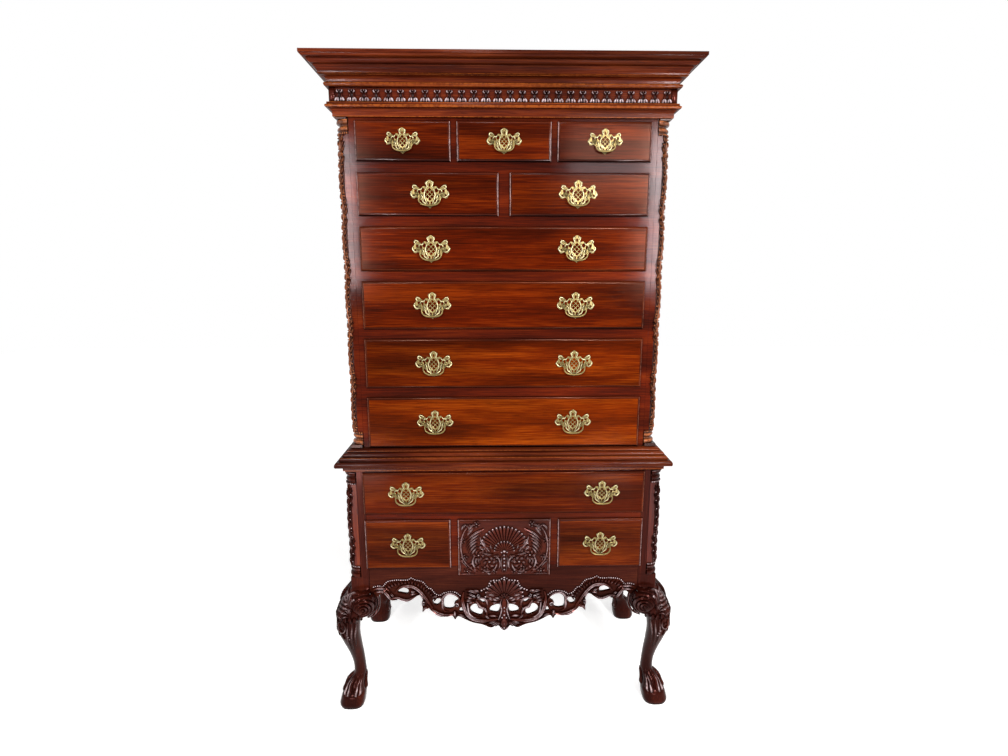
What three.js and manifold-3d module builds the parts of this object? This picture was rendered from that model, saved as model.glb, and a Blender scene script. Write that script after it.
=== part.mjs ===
// Highboy: an upper case of six drawer rows on a lower case of two rows with cabriole legs.
// Millimetres. +X runs to the viewer's right, +Y to the back, +Z up.
// The model is built with its lower front face at Y = 0 and is centred at the very end.

import * as THREE from 'three';
import { mergeVertices } from 'three/addons/utils/BufferGeometryUtils.js';
import Module from 'manifold-3d';

const wasm = await Module();
wasm.setup();

// Driving dimensions: the two cases
const upperWidth = 986;
const caseSetback = 25;
const lowerDepth = 463;
const legHeight = 420;
const lowerRailHeight = 86;
const panelThickness = 18;
const backThickness = 10;
const backInset = 4;
const frameThickness = 22;
const dustBoardThickness = 12;
const guideHeight = 20;
const seam = 0.3;

// Driving dimensions: corner posts and the carved quarter columns let into them
const cornerNotch = 35;
const lowerPostWidth = 62;
const lowerPostDepth = 50;
const upperStileReturn = 53;
const columnShaftRadius = 26;
const columnBeadRadius = 30;
const columnCollarHeight = 36;
const columnBlockHeight = 10.7;
const columnBlockProjection = 6;
const lowerBlockHeight = 48;
const columnHeadGap = 18;

// Driving dimensions: drawers, lip edge to lip edge
const upperStileFace = 18;
const upperRowHeights = [113, 125.5, 133, 148, 157, 166.5];
const upperRowReveal = 31;
const topReveal = 10;
const bottomReveal = 2;
const tripleReveal = 19;
const pairReveal = 34;
const longLowerDrawerHeight = 144;
const lowerRowReveal = 20.5;
const lowerTopReveal = 19;
const smallLowerDrawerHeight = 174.5;
const carvedDrawerWidth = 308;
const carvedDrawerDrop = 27;
const lowerReveal = 25;
const lipThickness = 8;
const lipOverlap = 6;
const lipMoulding = 6;
const fieldStep = 1.5;
const drawerFrontThickness = 14;
const drawerSideThickness = 12;
const drawerBottomThickness = 7;
const drawerBottomRaise = 8;
const drawerSideDrop = 6;
const drawerSideClearance = 1.5;
const drawerTopClearance = 2;
const drawerBackClearance = 18;

// Driving dimensions: mouldings
const corniceProjection = 76;
const crownHeight = 65;
const friezeHeight = 92;
const friezeBandHeight = 39;
const friezeProjection = 18;
const friezeBackProjection = 8;
const motifCount = 28;
const motifRelief = 7;
const friezeEndBlock = 10;
const waistHeight = 58;
const waistDrop = 12;
const waistNoseProjection = 27;

// Driving dimensions: legs and apron
const kneeOverhang = 55;
const apronThickness = 22;
const apronDrop = 162;
const shellRadius = 56;
const shellRelief = 12;

// Driving dimensions: brass pulls
const boreSpacing = 76;
const plateWidth = 119;
const plateRise = 41.5;
const plateFall = 41;
const plateThickness = 2;
const postReach = 11.5;
const postRadius = 3;
const postHeadRadius = 4.5;
const bailDrop = 33.5;
const bailWireRadius = 1.8;
const bailGripRadius = 3.3;
const bailPinRadius = 1.6;
const socketClearance = 0.6;
const socketDepth = 4;
const smallPullShare = 0.885;
const upperPullInset = 217;
const lowerPullInset = 141;

// Derived levels, from the floor up
const lowerTop = legHeight + lowerRailHeight - lipOverlap + smallLowerDrawerHeight + lowerRowReveal
  + longLowerDrawerHeight + lowerTopReveal;
const upperBottom = lowerTop + seam;
const waistTop = lowerTop + waistHeight;
const upperRowSpan = upperRowHeights.reduce((sum, height) => sum + height, 0)
  + upperRowReveal * (upperRowHeights.length - 1);
const corniceBottom = waistTop + bottomReveal + upperRowSpan + topReveal;
const crownBottom = corniceBottom + friezeHeight;
const totalHeight = crownBottom + crownHeight;
const lowerWidth = upperWidth + 2 * caseSetback;
const upperHalf = upperWidth / 2;
const lowerHalf = lowerWidth / 2;
const upperLipSpan = upperWidth - 2 * (cornerNotch + upperStileFace);
const lowerLipSpan = lowerWidth - 2 * (lowerPostWidth - lipOverlap);
const columnTop = corniceBottom - seam;
const lowerColumnBottom = legHeight + lowerBlockHeight;
const lowerColumnTop = lowerTop - columnHeadGap;

// Materials
function finish(colour, roughness, metalness) {
  return () => new THREE.MeshStandardMaterial({ color: colour, roughness, metalness });
}
const fieldWood = finish(0x7a3114, 0.3, 0);
const frameWood = finish(0x4a1a10, 0.28, 0);
const carvedWood = finish(0x421610, 0.26, 0);
const backWood = finish(0x5b3a22, 0.7, 0);
const brass = finish(0xc9ab62, 0.32, 1);

// Solid helpers
function toSolid(geometry) {
  const bare = geometry.clone();
  for (const key of Object.keys(bare.attributes)) {
    if (key !== 'position') bare.deleteAttribute(key);
  }
  const merged = mergeVertices(bare);
  return new wasm.Manifold(new wasm.Mesh({
    numProp: 3,
    vertProperties: new Float32Array(merged.attributes.position.array),
    triVerts: new Uint32Array(merged.index.array),
  }));
}

function toGeometry(solid) {
  const mesh = solid.getMesh();
  const geometry = new THREE.BufferGeometry();
  geometry.setAttribute('position', new THREE.BufferAttribute(mesh.vertProperties, mesh.numProp));
  geometry.setIndex(new THREE.BufferAttribute(mesh.triVerts, 1));
  geometry.computeVertexNormals();
  return geometry;
}

function block(x0, x1, y0, y1, z0, z1) {
  const geometry = new THREE.BoxGeometry(x1 - x0, y1 - y0, z1 - z0);
  return toSolid(geometry.translate((x0 + x1) / 2, (y0 + y1) / 2, (z0 + z1) / 2));
}

// The span from near to far on one side of the middle, lower end first
function spanOn(side, near, far) {
  return side < 0 ? [-far, -near] : [near, far];
}

function joined(solids) {
  return solids.reduce((whole, solid) => whole.add(solid));
}

function lessAll(solid, cuts) {
  return cuts.reduce((whole, cut) => whole.subtract(cut), solid);
}

// A closed skin over rings of equal length, with fan caps; the rings are convex and ordered.
function skinOver(rings) {
  const count = rings[0].length;
  const positions = rings.flat().flatMap((point) => [point.x, point.y, point.z]);
  const index = [];
  for (let ring = 0; ring < rings.length - 1; ring += 1) {
    for (let side = 0; side < count; side += 1) {
      const a = ring * count + side;
      const b = ring * count + (side + 1) % count;
      index.push(a, b, b + count, a, b + count, a + count);
    }
  }
  const last = (rings.length - 1) * count;
  for (let side = 1; side < count - 1; side += 1) {
    index.push(0, side + 1, side);
    index.push(last, last + side, last + side + 1);
  }
  const geometry = new THREE.BufferGeometry();
  geometry.setAttribute('position', new THREE.Float32BufferAttribute(positions, 3));
  geometry.setIndex(index);
  return facedOut(geometry);
}

function signedVolume(geometry) {
  const place = geometry.attributes.position;
  const corners = [new THREE.Vector3(), new THREE.Vector3(), new THREE.Vector3()];
  let volume = 0;
  for (let start = 0; start < geometry.index.count; start += 3) {
    corners.forEach((corner, step) => corner.fromBufferAttribute(place, geometry.index.getX(start + step)));
    volume += corners[0].dot(corners[1].clone().cross(corners[2]));
  }
  return volume;
}

function facedOut(geometry) {
  if (signedVolume(geometry) < 0) {
    const order = geometry.index.array;
    for (let start = 0; start < order.length; start += 3) {
      [order[start + 1], order[start + 2]] = [order[start + 2], order[start + 1]];
    }
  }
  return geometry;
}

// Copies a solid to another corner: the signs say which way X and Y run.
function turnedTo(solid, signX, signY, shiftX, shiftY) {
  const geometry = toGeometry(solid);
  geometry.deleteAttribute('normal');
  geometry.scale(signX, signY, 1).translate(shiftX, shiftY, 0);
  return toSolid(facedOut(geometry));
}

function outlineShape(points) {
  return new THREE.Shape(points.map(([x, y]) => new THREE.Vector2(x, y)));
}

// Stands an outline in X and Z up as a board from frontY back to backY.
function standingBoard(points, holes, frontY, backY) {
  const shape = outlineShape(points);
  holes.forEach((hole) => shape.holes.push(new THREE.Path(hole.map(([x, z]) => new THREE.Vector2(x, z)))));
  const geometry = new THREE.ExtrudeGeometry(shape, { depth: backY - frontY, bevelEnabled: false });
  return toSolid(geometry.rotateX(Math.PI / 2).translate(0, backY, 0));
}

// A moulding mitred round the front and both sides; the profile is [projection, height] points.
function mitredMoulding(profile, half, frontY, backY) {
  const stations = [
    (out) => [-half - out, backY],
    (out) => [-half - out, frontY - out],
    (out) => [half + out, frontY - out],
    (out) => [half + out, backY],
  ];
  const rings = stations.map((station) => profile.map(([out, z]) => {
    const [x, y] = station(out);
    return new THREE.Vector3(x, y, z);
  }));
  const count = profile.length;
  const positions = rings.flat().flatMap((point) => [point.x, point.y, point.z]);
  const index = [];
  for (let ring = 0; ring < rings.length - 1; ring += 1) {
    for (let side = 0; side < count; side += 1) {
      const a = ring * count + side;
      const b = ring * count + (side + 1) % count;
      index.push(a, b, b + count, a, b + count, a + count);
    }
  }
  const flat = profile.map(([out, z]) => new THREE.Vector2(out, z));
  const last = (rings.length - 1) * count;
  const winding = THREE.ShapeUtils.isClockWise(flat) ? -1 : 1;
  THREE.ShapeUtils.triangulateShape(flat, []).forEach(([a, b, c]) => {
    const [p, q] = winding > 0 ? [c, b] : [b, c];
    index.push(a, p, q, last + a, last + q, last + p);
  });
  const geometry = new THREE.BufferGeometry();
  geometry.setAttribute('position', new THREE.Float32BufferAttribute(positions, 3));
  geometry.setIndex(index);
  return toSolid(facedOut(geometry));
}

const highboy = new THREE.Group();

function addNode(name, solid, material) {
  const mesh = new THREE.Mesh(toGeometry(solid), material());
  mesh.name = name;
  highboy.add(mesh);
  return mesh;
}

// Drawer fronts: where each lip lies, by row
function upperRows() {
  let top = corniceBottom - topReveal;
  return upperRowHeights.map((height, index) => {
    const row = { number: index + 1, top, bottom: top - height };
    top = row.bottom - upperRowReveal;
    return row;
  });
}

function cellsAcross(span, count, reveal, names) {
  const width = (span - reveal * (count - 1)) / count;
  return names.map((name, index) => {
    const left = -span / 2 + index * (width + reveal);
    return { name, left, right: left + width };
  });
}

const rowCells = [
  () => cellsAcross(upperLipSpan, 3, tripleReveal, ['left', 'middle', 'right']),
  () => cellsAcross(upperLipSpan, 2, pairReveal, ['left', 'right']),
];

function upperDrawerList() {
  return upperRows().flatMap((row, index) => {
    const cells = rowCells[index] ? rowCells[index]() : cellsAcross(upperLipSpan, 1, 0, ['']);
    const depths = { frontY: caseSetback, backY: lowerDepth - backThickness };
    return cells.map((cell) => ({ ...row, ...cell, ...depths }));
  });
}

function lowerDrawerList() {
  const backY = lowerDepth - backInset - backThickness;
  const longTop = lowerTop - lowerTopReveal;
  const longBottom = longTop - longLowerDrawerHeight;
  const smallTop = longBottom - lowerRowReveal;
  const smallBottom = smallTop - smallLowerDrawerHeight;
  const sideWidth = (lowerLipSpan - carvedDrawerWidth) / 2 - lowerReveal;
  const half = lowerLipSpan / 2;
  const carvedHalf = carvedDrawerWidth / 2;
  const carvedBottom = smallBottom - carvedDrawerDrop;
  const drawer = (number, name, left, right, top, bottom) => (
    { number, name, left, right, top, bottom, frontY: 0, backY }
  );
  return [
    drawer(7, '', -half, half, longTop, longBottom),
    drawer(8, 'left', -half, sideWidth - half, smallTop, smallBottom),
    drawer(8, 'carved', -carvedHalf, carvedHalf, smallTop, carvedBottom),
    drawer(8, 'right', half - sideWidth, half, smallTop, smallBottom),
  ];
}

const drawers = [...upperDrawerList(), ...lowerDrawerList()];

function nodeName(stem, drawer, side) {
  return [stem, drawer.number, side || drawer.name].filter((word) => word !== '').join('_');
}

// The opening in the face frame that a drawer slides in
function openingOf(drawer) {
  return {
    left: drawer.left + lipOverlap,
    right: drawer.right - lipOverlap,
    bottom: drawer.bottom + lipOverlap,
    top: drawer.top - lipOverlap,
  };
}

function rectangleRing(left, right, bottom, top, y, inset) {
  return [
    new THREE.Vector3(left + inset, y, bottom + inset),
    new THREE.Vector3(right - inset, y, bottom + inset),
    new THREE.Vector3(right - inset, y, top - inset),
    new THREE.Vector3(left + inset, y, top - inset),
  ];
}

// A lipped drawer front, rounded along its edge, with its dovetailed box behind it
function drawerSolid(drawer) {
  const { left, right, bottom, top, frontY, backY } = drawer;
  const face = frontY - lipThickness;
  const lipBack = frontY - seam;
  const roundDepth = lipMoulding - fieldStep;
  const lip = toSolid(skinOver([
    rectangleRing(left, right, bottom, top, lipBack, 0),
    rectangleRing(left, right, bottom, top, face + fieldStep + roundDepth, 0),
    rectangleRing(left, right, bottom, top, face + fieldStep + roundDepth / 4, lipMoulding / 3),
    rectangleRing(left, right, bottom, top, face + fieldStep, lipMoulding),
    rectangleRing(left, right, bottom, top, face, lipMoulding + fieldStep / 4),
  ]));
  const opening = openingOf(drawer);
  const boxLeft = opening.left + drawerSideClearance;
  const boxRight = opening.right - drawerSideClearance;
  const boxBottom = opening.bottom + seam;
  const boxTop = opening.top - drawerTopClearance;
  const boxBack = backY - drawerBackClearance;
  const frontBack = frontY + drawerFrontThickness;
  const body = block(boxLeft, boxRight, lipBack - seam, boxBack, boxBottom, boxTop);
  const inside = block(
    boxLeft + drawerSideThickness, boxRight - drawerSideThickness,
    frontBack, boxBack - drawerSideThickness,
    boxBottom + drawerBottomRaise + drawerBottomThickness, boxTop + seam,
  );
  const under = block(
    boxLeft + drawerSideThickness, boxRight - drawerSideThickness,
    frontBack, boxBack + seam, boxBottom - seam, boxBottom + drawerBottomRaise,
  );
  const lowered = block(
    boxLeft - seam, boxRight + seam, frontBack, boxBack + seam, boxTop - drawerSideDrop, boxTop + seam,
  );
  return lessAll(lip.add(body), [inside, under, lowered]);
}

// The carved drawer's raised shell: ribs that fan out from a root low on the front
const shellRibs = 11;
const carvedShellRadiusShare = 0.62;
const carvedShellRootShare = 0.3;
const shellValleyShare = 0.86;
const shellSpread = Math.PI * 1.1;

function shellFan(radius, relief, ribs, rootX, rootZ, backY) {
  const rim = [];
  for (let step = 0; step <= 2 * ribs; step += 1) {
    const angle = Math.PI / 2 + shellSpread / 2 - shellSpread * step / (2 * ribs);
    const reach = step % 2 ? radius : radius * shellValleyShare;
    rim.push([rootX + reach * Math.cos(angle), rootZ + reach * Math.sin(angle)]);
  }
  const count = rim.length;
  const root = [rootX, rootZ];
  const places = [];
  [...rim, root].forEach(([x, z]) => places.push([x, backY, z]));
  rim.forEach(([x, z], step) => places.push([x, backY - relief * (step % 2 ? 1 : 1 / 2), z]));
  places.push([rootX, backY - relief / 2, rootZ]);
  const index = [];
  const lifted = count + 1;
  for (let step = 0; step < count - 1; step += 1) {
    index.push(step, step + 1, lifted + step + 1, step, lifted + step + 1, lifted + step);
    index.push(count, step + 1, step, lifted + count, lifted + step, lifted + step + 1);
  }
  index.push(count - 1, count, lifted + count, count - 1, lifted + count, lifted + count - 1);
  index.push(count, 0, lifted, count, lifted, lifted + count);
  const geometry = new THREE.BufferGeometry();
  geometry.setAttribute('position', new THREE.Float32BufferAttribute(places.flat(), 3));
  geometry.setIndex(index);
  return toSolid(facedOut(geometry));
}

function addDrawers() {
  drawers.forEach((drawer) => {
    let solid = drawerSolid(drawer);
    if (drawer.name === 'carved') {
      const height = drawer.top - drawer.bottom;
      solid = solid.add(shellFan(
        height * carvedShellRadiusShare, shellRelief / 2, shellRibs,
        0, drawer.bottom + height * carvedShellRootShare, drawer.frontY - lipThickness + fieldStep,
      ));
    }
    const material = drawer.name === 'carved' ? carvedWood : fieldWood;
    addNode(nodeName('drawer', drawer), solid, material);
  });
}

// Upper case: sides, corner posts, face frame, dust boards, guides and top, glued as one
function upperCaseSolid() {
  const frontY = caseSetback;
  const innerHalf = upperHalf - panelThickness;
  const interiorBack = lowerDepth - backThickness - seam;
  const openingHalf = upperLipSpan / 2 - lipOverlap;
  const stileOuter = upperHalf - cornerNotch;
  const postBack = frontY + upperStileReturn;
  const notchBack = frontY + cornerNotch;
  const parts = [];
  for (const side of [-1, 1]) {
    const panel = spanOn(side, innerHalf, upperHalf);
    const stile = spanOn(side, openingHalf, stileOuter);
    const wholePost = spanOn(side, openingHalf, upperHalf);
    parts.push(
      block(...panel, notchBack, lowerDepth, upperBottom, totalHeight),
      block(...stile, frontY, postBack, upperBottom, totalHeight),
      block(...wholePost, notchBack, postBack, upperBottom, totalHeight),
      block(...wholePost, frontY, postBack, upperBottom, waistTop),
      block(...wholePost, frontY, postBack, corniceBottom, totalHeight),
    );
  }
  const rows = upperRows();
  const railBack = frontY + frameThickness;
  const firstTop = rows[0].top - lipOverlap;
  parts.push(block(-upperHalf, upperHalf, frontY, railBack, corniceBottom, totalHeight));
  parts.push(block(-openingHalf, openingHalf, frontY, railBack, firstTop, totalHeight));
  parts.push(block(-innerHalf, innerHalf, frontY, interiorBack, totalHeight - panelThickness, totalHeight));
  parts.push(block(-innerHalf, innerHalf, frontY, interiorBack, upperBottom, upperBottom + panelThickness));
  rows.forEach((row, index) => {
    const floor = row.bottom + lipOverlap;
    const railBottom = index + 1 < rows.length ? rows[index + 1].top - lipOverlap : upperBottom;
    parts.push(block(-openingHalf, openingHalf, frontY, railBack, railBottom, floor));
    parts.push(block(-innerHalf, innerHalf, frontY, interiorBack, floor - dustBoardThickness, floor));
    parts.push(block(-innerHalf, -openingHalf, frontY, interiorBack, floor - seam, floor + guideHeight));
    parts.push(block(openingHalf, innerHalf, frontY, interiorBack, floor - seam, floor + guideHeight));
    const cells = rowCells[index] ? rowCells[index]() : [];
    for (let cell = 1; cell < cells.length; cell += 1) {
      const left = cells[cell - 1].right - lipOverlap;
      const right = cells[cell].left + lipOverlap;
      parts.push(block(left, right, frontY, railBack, floor - seam, row.top));
      parts.push(block(left, right, frontY, interiorBack, floor - seam, floor + guideHeight));
    }
  });
  const notches = [-1, 1].map((side) => block(
    ...spanOn(side, stileOuter, upperHalf + seam), frontY - seam, notchBack, waistTop, corniceBottom,
  ));
  return lessAll(joined(parts), notches);
}

function upperBackSolid() {
  const half = upperHalf - panelThickness - seam;
  return block(-half, half, lowerDepth - backThickness, lowerDepth, upperBottom, totalHeight);
}

// Lower case: sides between the leg posts, back, face frame, dust boards and guides
function postBlocks(gap) {
  const inX = lowerHalf - lowerPostWidth - gap;
  const rearX = lowerHalf - lowerPostDepth - gap;
  const frontIn = lowerPostDepth + gap;
  const rearIn = lowerDepth - lowerPostDepth - gap;
  const low = legHeight - seam;
  const high = lowerTop + seam;
  return [-1, 1].flatMap((side) => [
    block(...spanOn(side, inX, lowerHalf + seam), -seam, frontIn, low, high),
    block(...spanOn(side, rearX, lowerHalf + seam), rearIn, lowerDepth + seam, low, high),
  ]);
}

function lowerCaseSolid() {
  const inner = lowerHalf - panelThickness;
  const openingHalf = lowerLipSpan / 2 - lipOverlap;
  const backFace = lowerDepth - backInset;
  const backInner = backFace - backThickness;
  const [long, left, carved] = lowerDrawerList();
  const longOpen = openingOf(long);
  const sideOpen = openingOf(left);
  const carvedOpen = openingOf(carved);
  const shelfFront = apronThickness + seam;
  const carvedFloor = carvedOpen.bottom - dustBoardThickness;
  const sideFloor = sideOpen.bottom - dustBoardThickness;
  const parts = [
    block(-inner, inner, backInner, backFace, legHeight, lowerTop),
    block(-inner, inner, 0, backInner, lowerTop - dustBoardThickness, lowerTop),
    block(-openingHalf, openingHalf, 0, frameThickness, longOpen.top, lowerTop),
    block(-openingHalf, openingHalf, 0, frameThickness, sideOpen.top, longOpen.bottom),
    block(-inner, inner, 0, backInner, longOpen.bottom - dustBoardThickness, longOpen.bottom),
    block(carvedOpen.left, carvedOpen.right, shelfFront, backInner, carvedFloor, carvedOpen.bottom),
  ];
  for (const side of [-1, 1]) {
    const panel = spanOn(side, inner, lowerHalf);
    const guide = spanOn(side, openingHalf, inner);
    const smallBay = spanOn(side, -sideOpen.right, openingHalf);
    const divider = spanOn(side, carvedOpen.right, -sideOpen.right);
    parts.push(
      block(...panel, 0, lowerDepth, legHeight, lowerTop),
      block(...guide, 0, backInner, longOpen.bottom, longOpen.bottom + guideHeight),
      block(...guide, 0, backInner, sideFloor, sideOpen.bottom + guideHeight),
      block(...smallBay, shelfFront, backInner, sideFloor, sideOpen.bottom),
      block(...divider, shelfFront, backInner, carvedFloor, longOpen.bottom),
      block(...divider, 0, frameThickness + lipThickness, sideOpen.bottom + seam, longOpen.bottom),
    );
  }
  return lessAll(joined(parts), postBlocks(seam));
}

// Carved quarter column: a turned collar at each end of a plain shaft
const collarShares = [
  [0, 0.93], [0.1, 1], [0.25, 1], [0.36, 0.93], [0.42, 0.84], [0.52, 0.82],
  [0.6, 0.9], [0.72, 0.95], [0.84, 0.9], [1, 0.87],
];

function columnLathe(bottom, top) {
  const collar = collarShares.map(([rise, reach]) => [reach * columnBeadRadius, rise * columnCollarHeight]);
  const profile = [
    [0, bottom],
    ...collar.map(([radius, rise]) => [radius, bottom + rise]),
    [columnShaftRadius, bottom + columnCollarHeight],
    [columnShaftRadius, top - columnCollarHeight],
    ...collar.map(([radius, rise]) => [radius, top - rise]).reverse(),
    [0, top],
  ];
  const points = profile.map(([radius, z]) => new THREE.Vector2(radius, z));
  const segments = 20;
  const lathe = new THREE.LatheGeometry(points, segments).rotateX(Math.PI / 2);
  return toSolid(facedOut(mergeVertices(bareGeometry(lathe))));
}

function bareGeometry(geometry) {
  const bare = geometry.clone();
  bare.deleteAttribute('normal');
  bare.deleteAttribute('uv');
  return bare;
}

// Built at the corner with X and Y running inwards; the column's middle is the notch's inner corner.
function quarterColumn(bottom, top, reach) {
  const turned = columnLathe(bottom, top);
  const middle = toGeometry(turned).translate(cornerNotch, cornerNotch, 0);
  const corner = block(-cornerNotch, reach, -cornerNotch, reach, bottom - seam, top + seam);
  return toSolid(middle).intersect(corner);
}

function upperColumnSolid() {
  const bottom = waistTop + seam;
  const reach = cornerNotch - seam;
  const blockTop = bottom + columnBlockHeight;
  const capBottom = columnTop - columnBlockHeight / 2;
  const out = -columnBlockProjection;
  return joined([
    block(out, reach, out, reach, bottom, blockTop),
    quarterColumn(blockTop - seam, capBottom + seam, reach),
    block(out / 2, reach, out / 2, reach, capBottom, columnTop),
  ]);
}

// Cabriole leg: stations down the leg as shares of its height, of the knee's overhang outwards and
// of the post's width inwards; the last share is how square the section is, from 0 to 1.
const legStationShares = [
  [1.02, 0, 1, 1], [1, 0.15, 1, 0.8], [0.964, 0.49, 0.97, 0.6], [0.917, 0.8, 0.89, 0.5],
  [0.84, 1, 0.68, 0.4], [0.776, 0.98, 0.48, 0.4], [0.714, 0.92, 0.42, 0.35], [0.648, 0.83, 0.39, 0.3],
  [0.571, 0.63, 0.41, 0.3], [0.498, 0.45, 0.44, 0.25], [0.429, 0.3, 0.48, 0.2], [0.357, 0.18, 0.51, 0.15],
  [0.286, 0.14, 0.54, 0.15], [0.245, 0.18, 0.56, 0.15], [0.214, 0.45, 0.59, 0.15], [0.191, 0.64, 0.61, 0.15],
  [0.143, 0.77, 0.6, 0.15], [0.095, 0.88, 0.57, 0.15], [0.038, 0.99, 0.53, 0.1], [0.014, 0.96, 0.5, 0.1],
  [0, 0.9, 0.47, 0.1],
];
const legSides = 16;
const clawTopShare = 0.23;
const clawDepthShare = 0.24;
const squarestShare = 0.75;
const voluteMiddleShare = 0.53;
const voluteHeightShare = 0.9;
const voluteRadius = 45;
const voluteThickness = 34;
const voluteFrontShare = 0.25;
const bracketLength = 60;
const bracketThickness = 20;

function legRing([heightShare, outShare, inShare, squareShare]) {
  const z = heightShare * legHeight;
  const near = -outShare * kneeOverhang;
  const far = inShare * lowerPostWidth;
  const middle = (near + far) / 2;
  const half = (far - near) / 2;
  const power = 2 / (1 - squarestShare * squareShare ** 2);
  const clawed = heightShare > 0 && heightShare < clawTopShare;
  return Array.from({ length: legSides }, (_, side) => {
    const angle = Math.PI * 2 * (side + 1) / legSides;
    const [across, along] = [Math.cos(angle), Math.sin(angle)];
    const reach = (Math.abs(across) ** power + Math.abs(along) ** power) ** (-1 / power);
    const lobe = (1 + Math.cos(4 * (angle - Math.PI / 4))) / 2;
    const depth = clawed ? 1 - clawDepthShare * (1 - lobe) : 1;
    const radius = half * reach * depth;
    return new THREE.Vector3(middle + radius * across, middle + radius * along, z);
  });
}

function volute(alongX) {
  const segments = 10;
  const sphere = bareGeometry(new THREE.SphereGeometry(voluteRadius, segments, segments / 2));
  const squash = voluteThickness / voluteRadius;
  const middle = voluteMiddleShare * lowerPostWidth;
  const front = -kneeOverhang * voluteFrontShare;
  const z = voluteHeightShare * legHeight;
  sphere.scale(alongX ? 1 : squash, alongX ? squash : 1, 1);
  sphere.translate(alongX ? middle : front, alongX ? front : middle, z);
  return toSolid(sphere);
}

// The knee's bracket, which runs on under the case from the post
function kneeBracket(start, alongX) {
  const low = voluteHeightShare * legHeight - voluteRadius / 2;
  const shape = outlineShape([
    [start - bracketThickness, low], [start + bracketLength / 3, low],
    [start + bracketLength * 2 / 3, (low + legHeight) / 2],
    [start + bracketLength, legHeight - seam], [start - bracketThickness, legHeight - seam],
  ]);
  const geometry = new THREE.ExtrudeGeometry(shape, { depth: bracketThickness, bevelEnabled: false });
  geometry.rotateX(Math.PI / 2).translate(0, bracketThickness, 0);
  const swapped = new THREE.Matrix4().makeBasis(
    new THREE.Vector3(0, 1, 0), new THREE.Vector3(1, 0, 0), new THREE.Vector3(0, 0, 1),
  );
  if (!alongX) geometry.applyMatrix4(swapped);
  return toSolid(facedOut(mergeVertices(bareGeometry(geometry))));
}

function legSolid(front) {
  const postWidth = front ? lowerPostWidth : lowerPostDepth;
  const far = lowerPostWidth + bracketLength * 2;
  const parts = [
    toSolid(skinOver(legStationShares.map(legRing))),
    block(0, postWidth, 0, lowerPostDepth, legHeight, lowerTop),
    volute(true),
    volute(false),
    kneeBracket(lowerPostDepth, false),
  ];
  if (!front) parts.push(kneeBracket(lowerPostDepth, true));
  const cuts = [
    block(-seam, far, lowerPostDepth, far, legHeight - seam, lowerTop),
    block(postWidth, far, -seam, far, legHeight - seam, lowerTop),
    block(-far, far, -far, far, -far, 0),
  ];
  if (front) {
    cuts.push(block(postWidth, far, -seam, far, 0, lowerTop));
    cuts.push(block(-far, cornerNotch, -far, cornerNotch, lowerColumnBottom, lowerColumnTop));
  }
  const leg = lessAll(joined(parts), cuts);
  if (!front) return leg;
  return leg.add(quarterColumn(lowerColumnBottom - seam, lowerColumnTop + seam, cornerNotch + seam));
}

function addLegs() {
  for (const [row, front] of [['front', true], ['rear', false]]) {
    const solid = legSolid(front);
    for (const [hand, side] of [['left', 1], ['right', -1]]) {
      const [signY, shiftY] = front ? [1, 0] : [-1, lowerDepth];
      const placed = turnedTo(solid, side, signY, -side * lowerHalf, shiftY);
      addNode(`leg_${row}_${hand}`, placed, carvedWood);
    }
  }
}

// Pierced apron: shares of its half width outwards and of its drop below the rail, left half
const apronEdgeShares = [
  [1, 0.3], [0.965, 0.26], [0.921, 0.093], [0.882, 0.123], [0.862, 0.198], [0.794, 0.228], [0.735, 0.249],
  [0.695, 0.216], [0.664, 0.136], [0.634, 0.123], [0.603, 0.198], [0.621, 0.327], [0.614, 0.42],
  [0.614, 0.537], [0.583, 0.444], [0.546, 0.469], [0.515, 0.568], [0.469, 0.642], [0.432, 0.654],
  [0.393, 0.63], [0.371, 0.716], [0.346, 0.642], [0.294, 0.716], [0.241, 0.79], [0.163, 0.846],
  [0.101, 0.92], [0.048, 0.87], [0, 1],
];
const apronHoleShares = [
  [[0.798, 0.062], [0.774, -0.025], [0.739, -0.031], [0.715, 0.012], [0.724, 0.105], [0.763, 0.093]],
  [[0.535, 0.256], [0.504, 0.222], [0.474, 0.235], [0.482, 0.315], [0.502, 0.377], [0.529, 0.352]],
  [[0.45, 0.426], [0.452, 0.259], [0.436, 0.167], [0.397, 0.13], [0.36, 0.167], [0.342, 0.253],
    [0.375, 0.333], [0.373, 0.414], [0.393, 0.463], [0.43, 0.463]],
  [[0.34, 0.525], [0.323, 0.432], [0.314, 0.537]],
  [[0.191, 0.253], [0.17, 0.235], [0.143, 0.29], [0.158, 0.34], [0.178, 0.302]],
  [[0.254, 0.432], [0.23, 0.361], [0.208, 0.364], [0.193, 0.457], [0.162, 0.494], [0.171, 0.623],
    [0.208, 0.611], [0.248, 0.537]],
  [[0.11, 0.485], [0.09, 0.401], [0.033, 0.37], [0.038, 0.512], [0.055, 0.568], [0.101, 0.543]],
];
const apronShellDropShare = 0.06;

function apronSolid() {
  const half = lowerHalf - lowerPostWidth - seam;
  const place = ([across, drop], side) => [side * across * half, legHeight - drop * apronDrop];
  const [, left, carved] = lowerDrawerList();
  const sideTop = openingOf(left).bottom;
  const dip = openingOf(carved);
  const edge = apronEdgeShares.map((shares) => place(shares, -1));
  const mirrored = apronEdgeShares.slice(0, -1).reverse().map((shares) => place(shares, 1));
  const outline = [
    ...edge, ...mirrored,
    [half, sideTop], [dip.right, sideTop], [dip.right, dip.bottom],
    [dip.left, dip.bottom], [dip.left, sideTop], [-half, sideTop],
  ];
  const holesOn = (side) => apronHoleShares.map((hole) => hole.map((shares) => place(shares, side)));
  const board = standingBoard(outline, [...holesOn(-1), ...holesOn(1)], 0, apronThickness);
  const shellRoot = legHeight - apronDrop * apronShellDropShare;
  const shell = shellFan(shellRadius, shellRelief, shellRibs, 0, shellRoot, seam);
  return board.add(shell);
}

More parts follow.
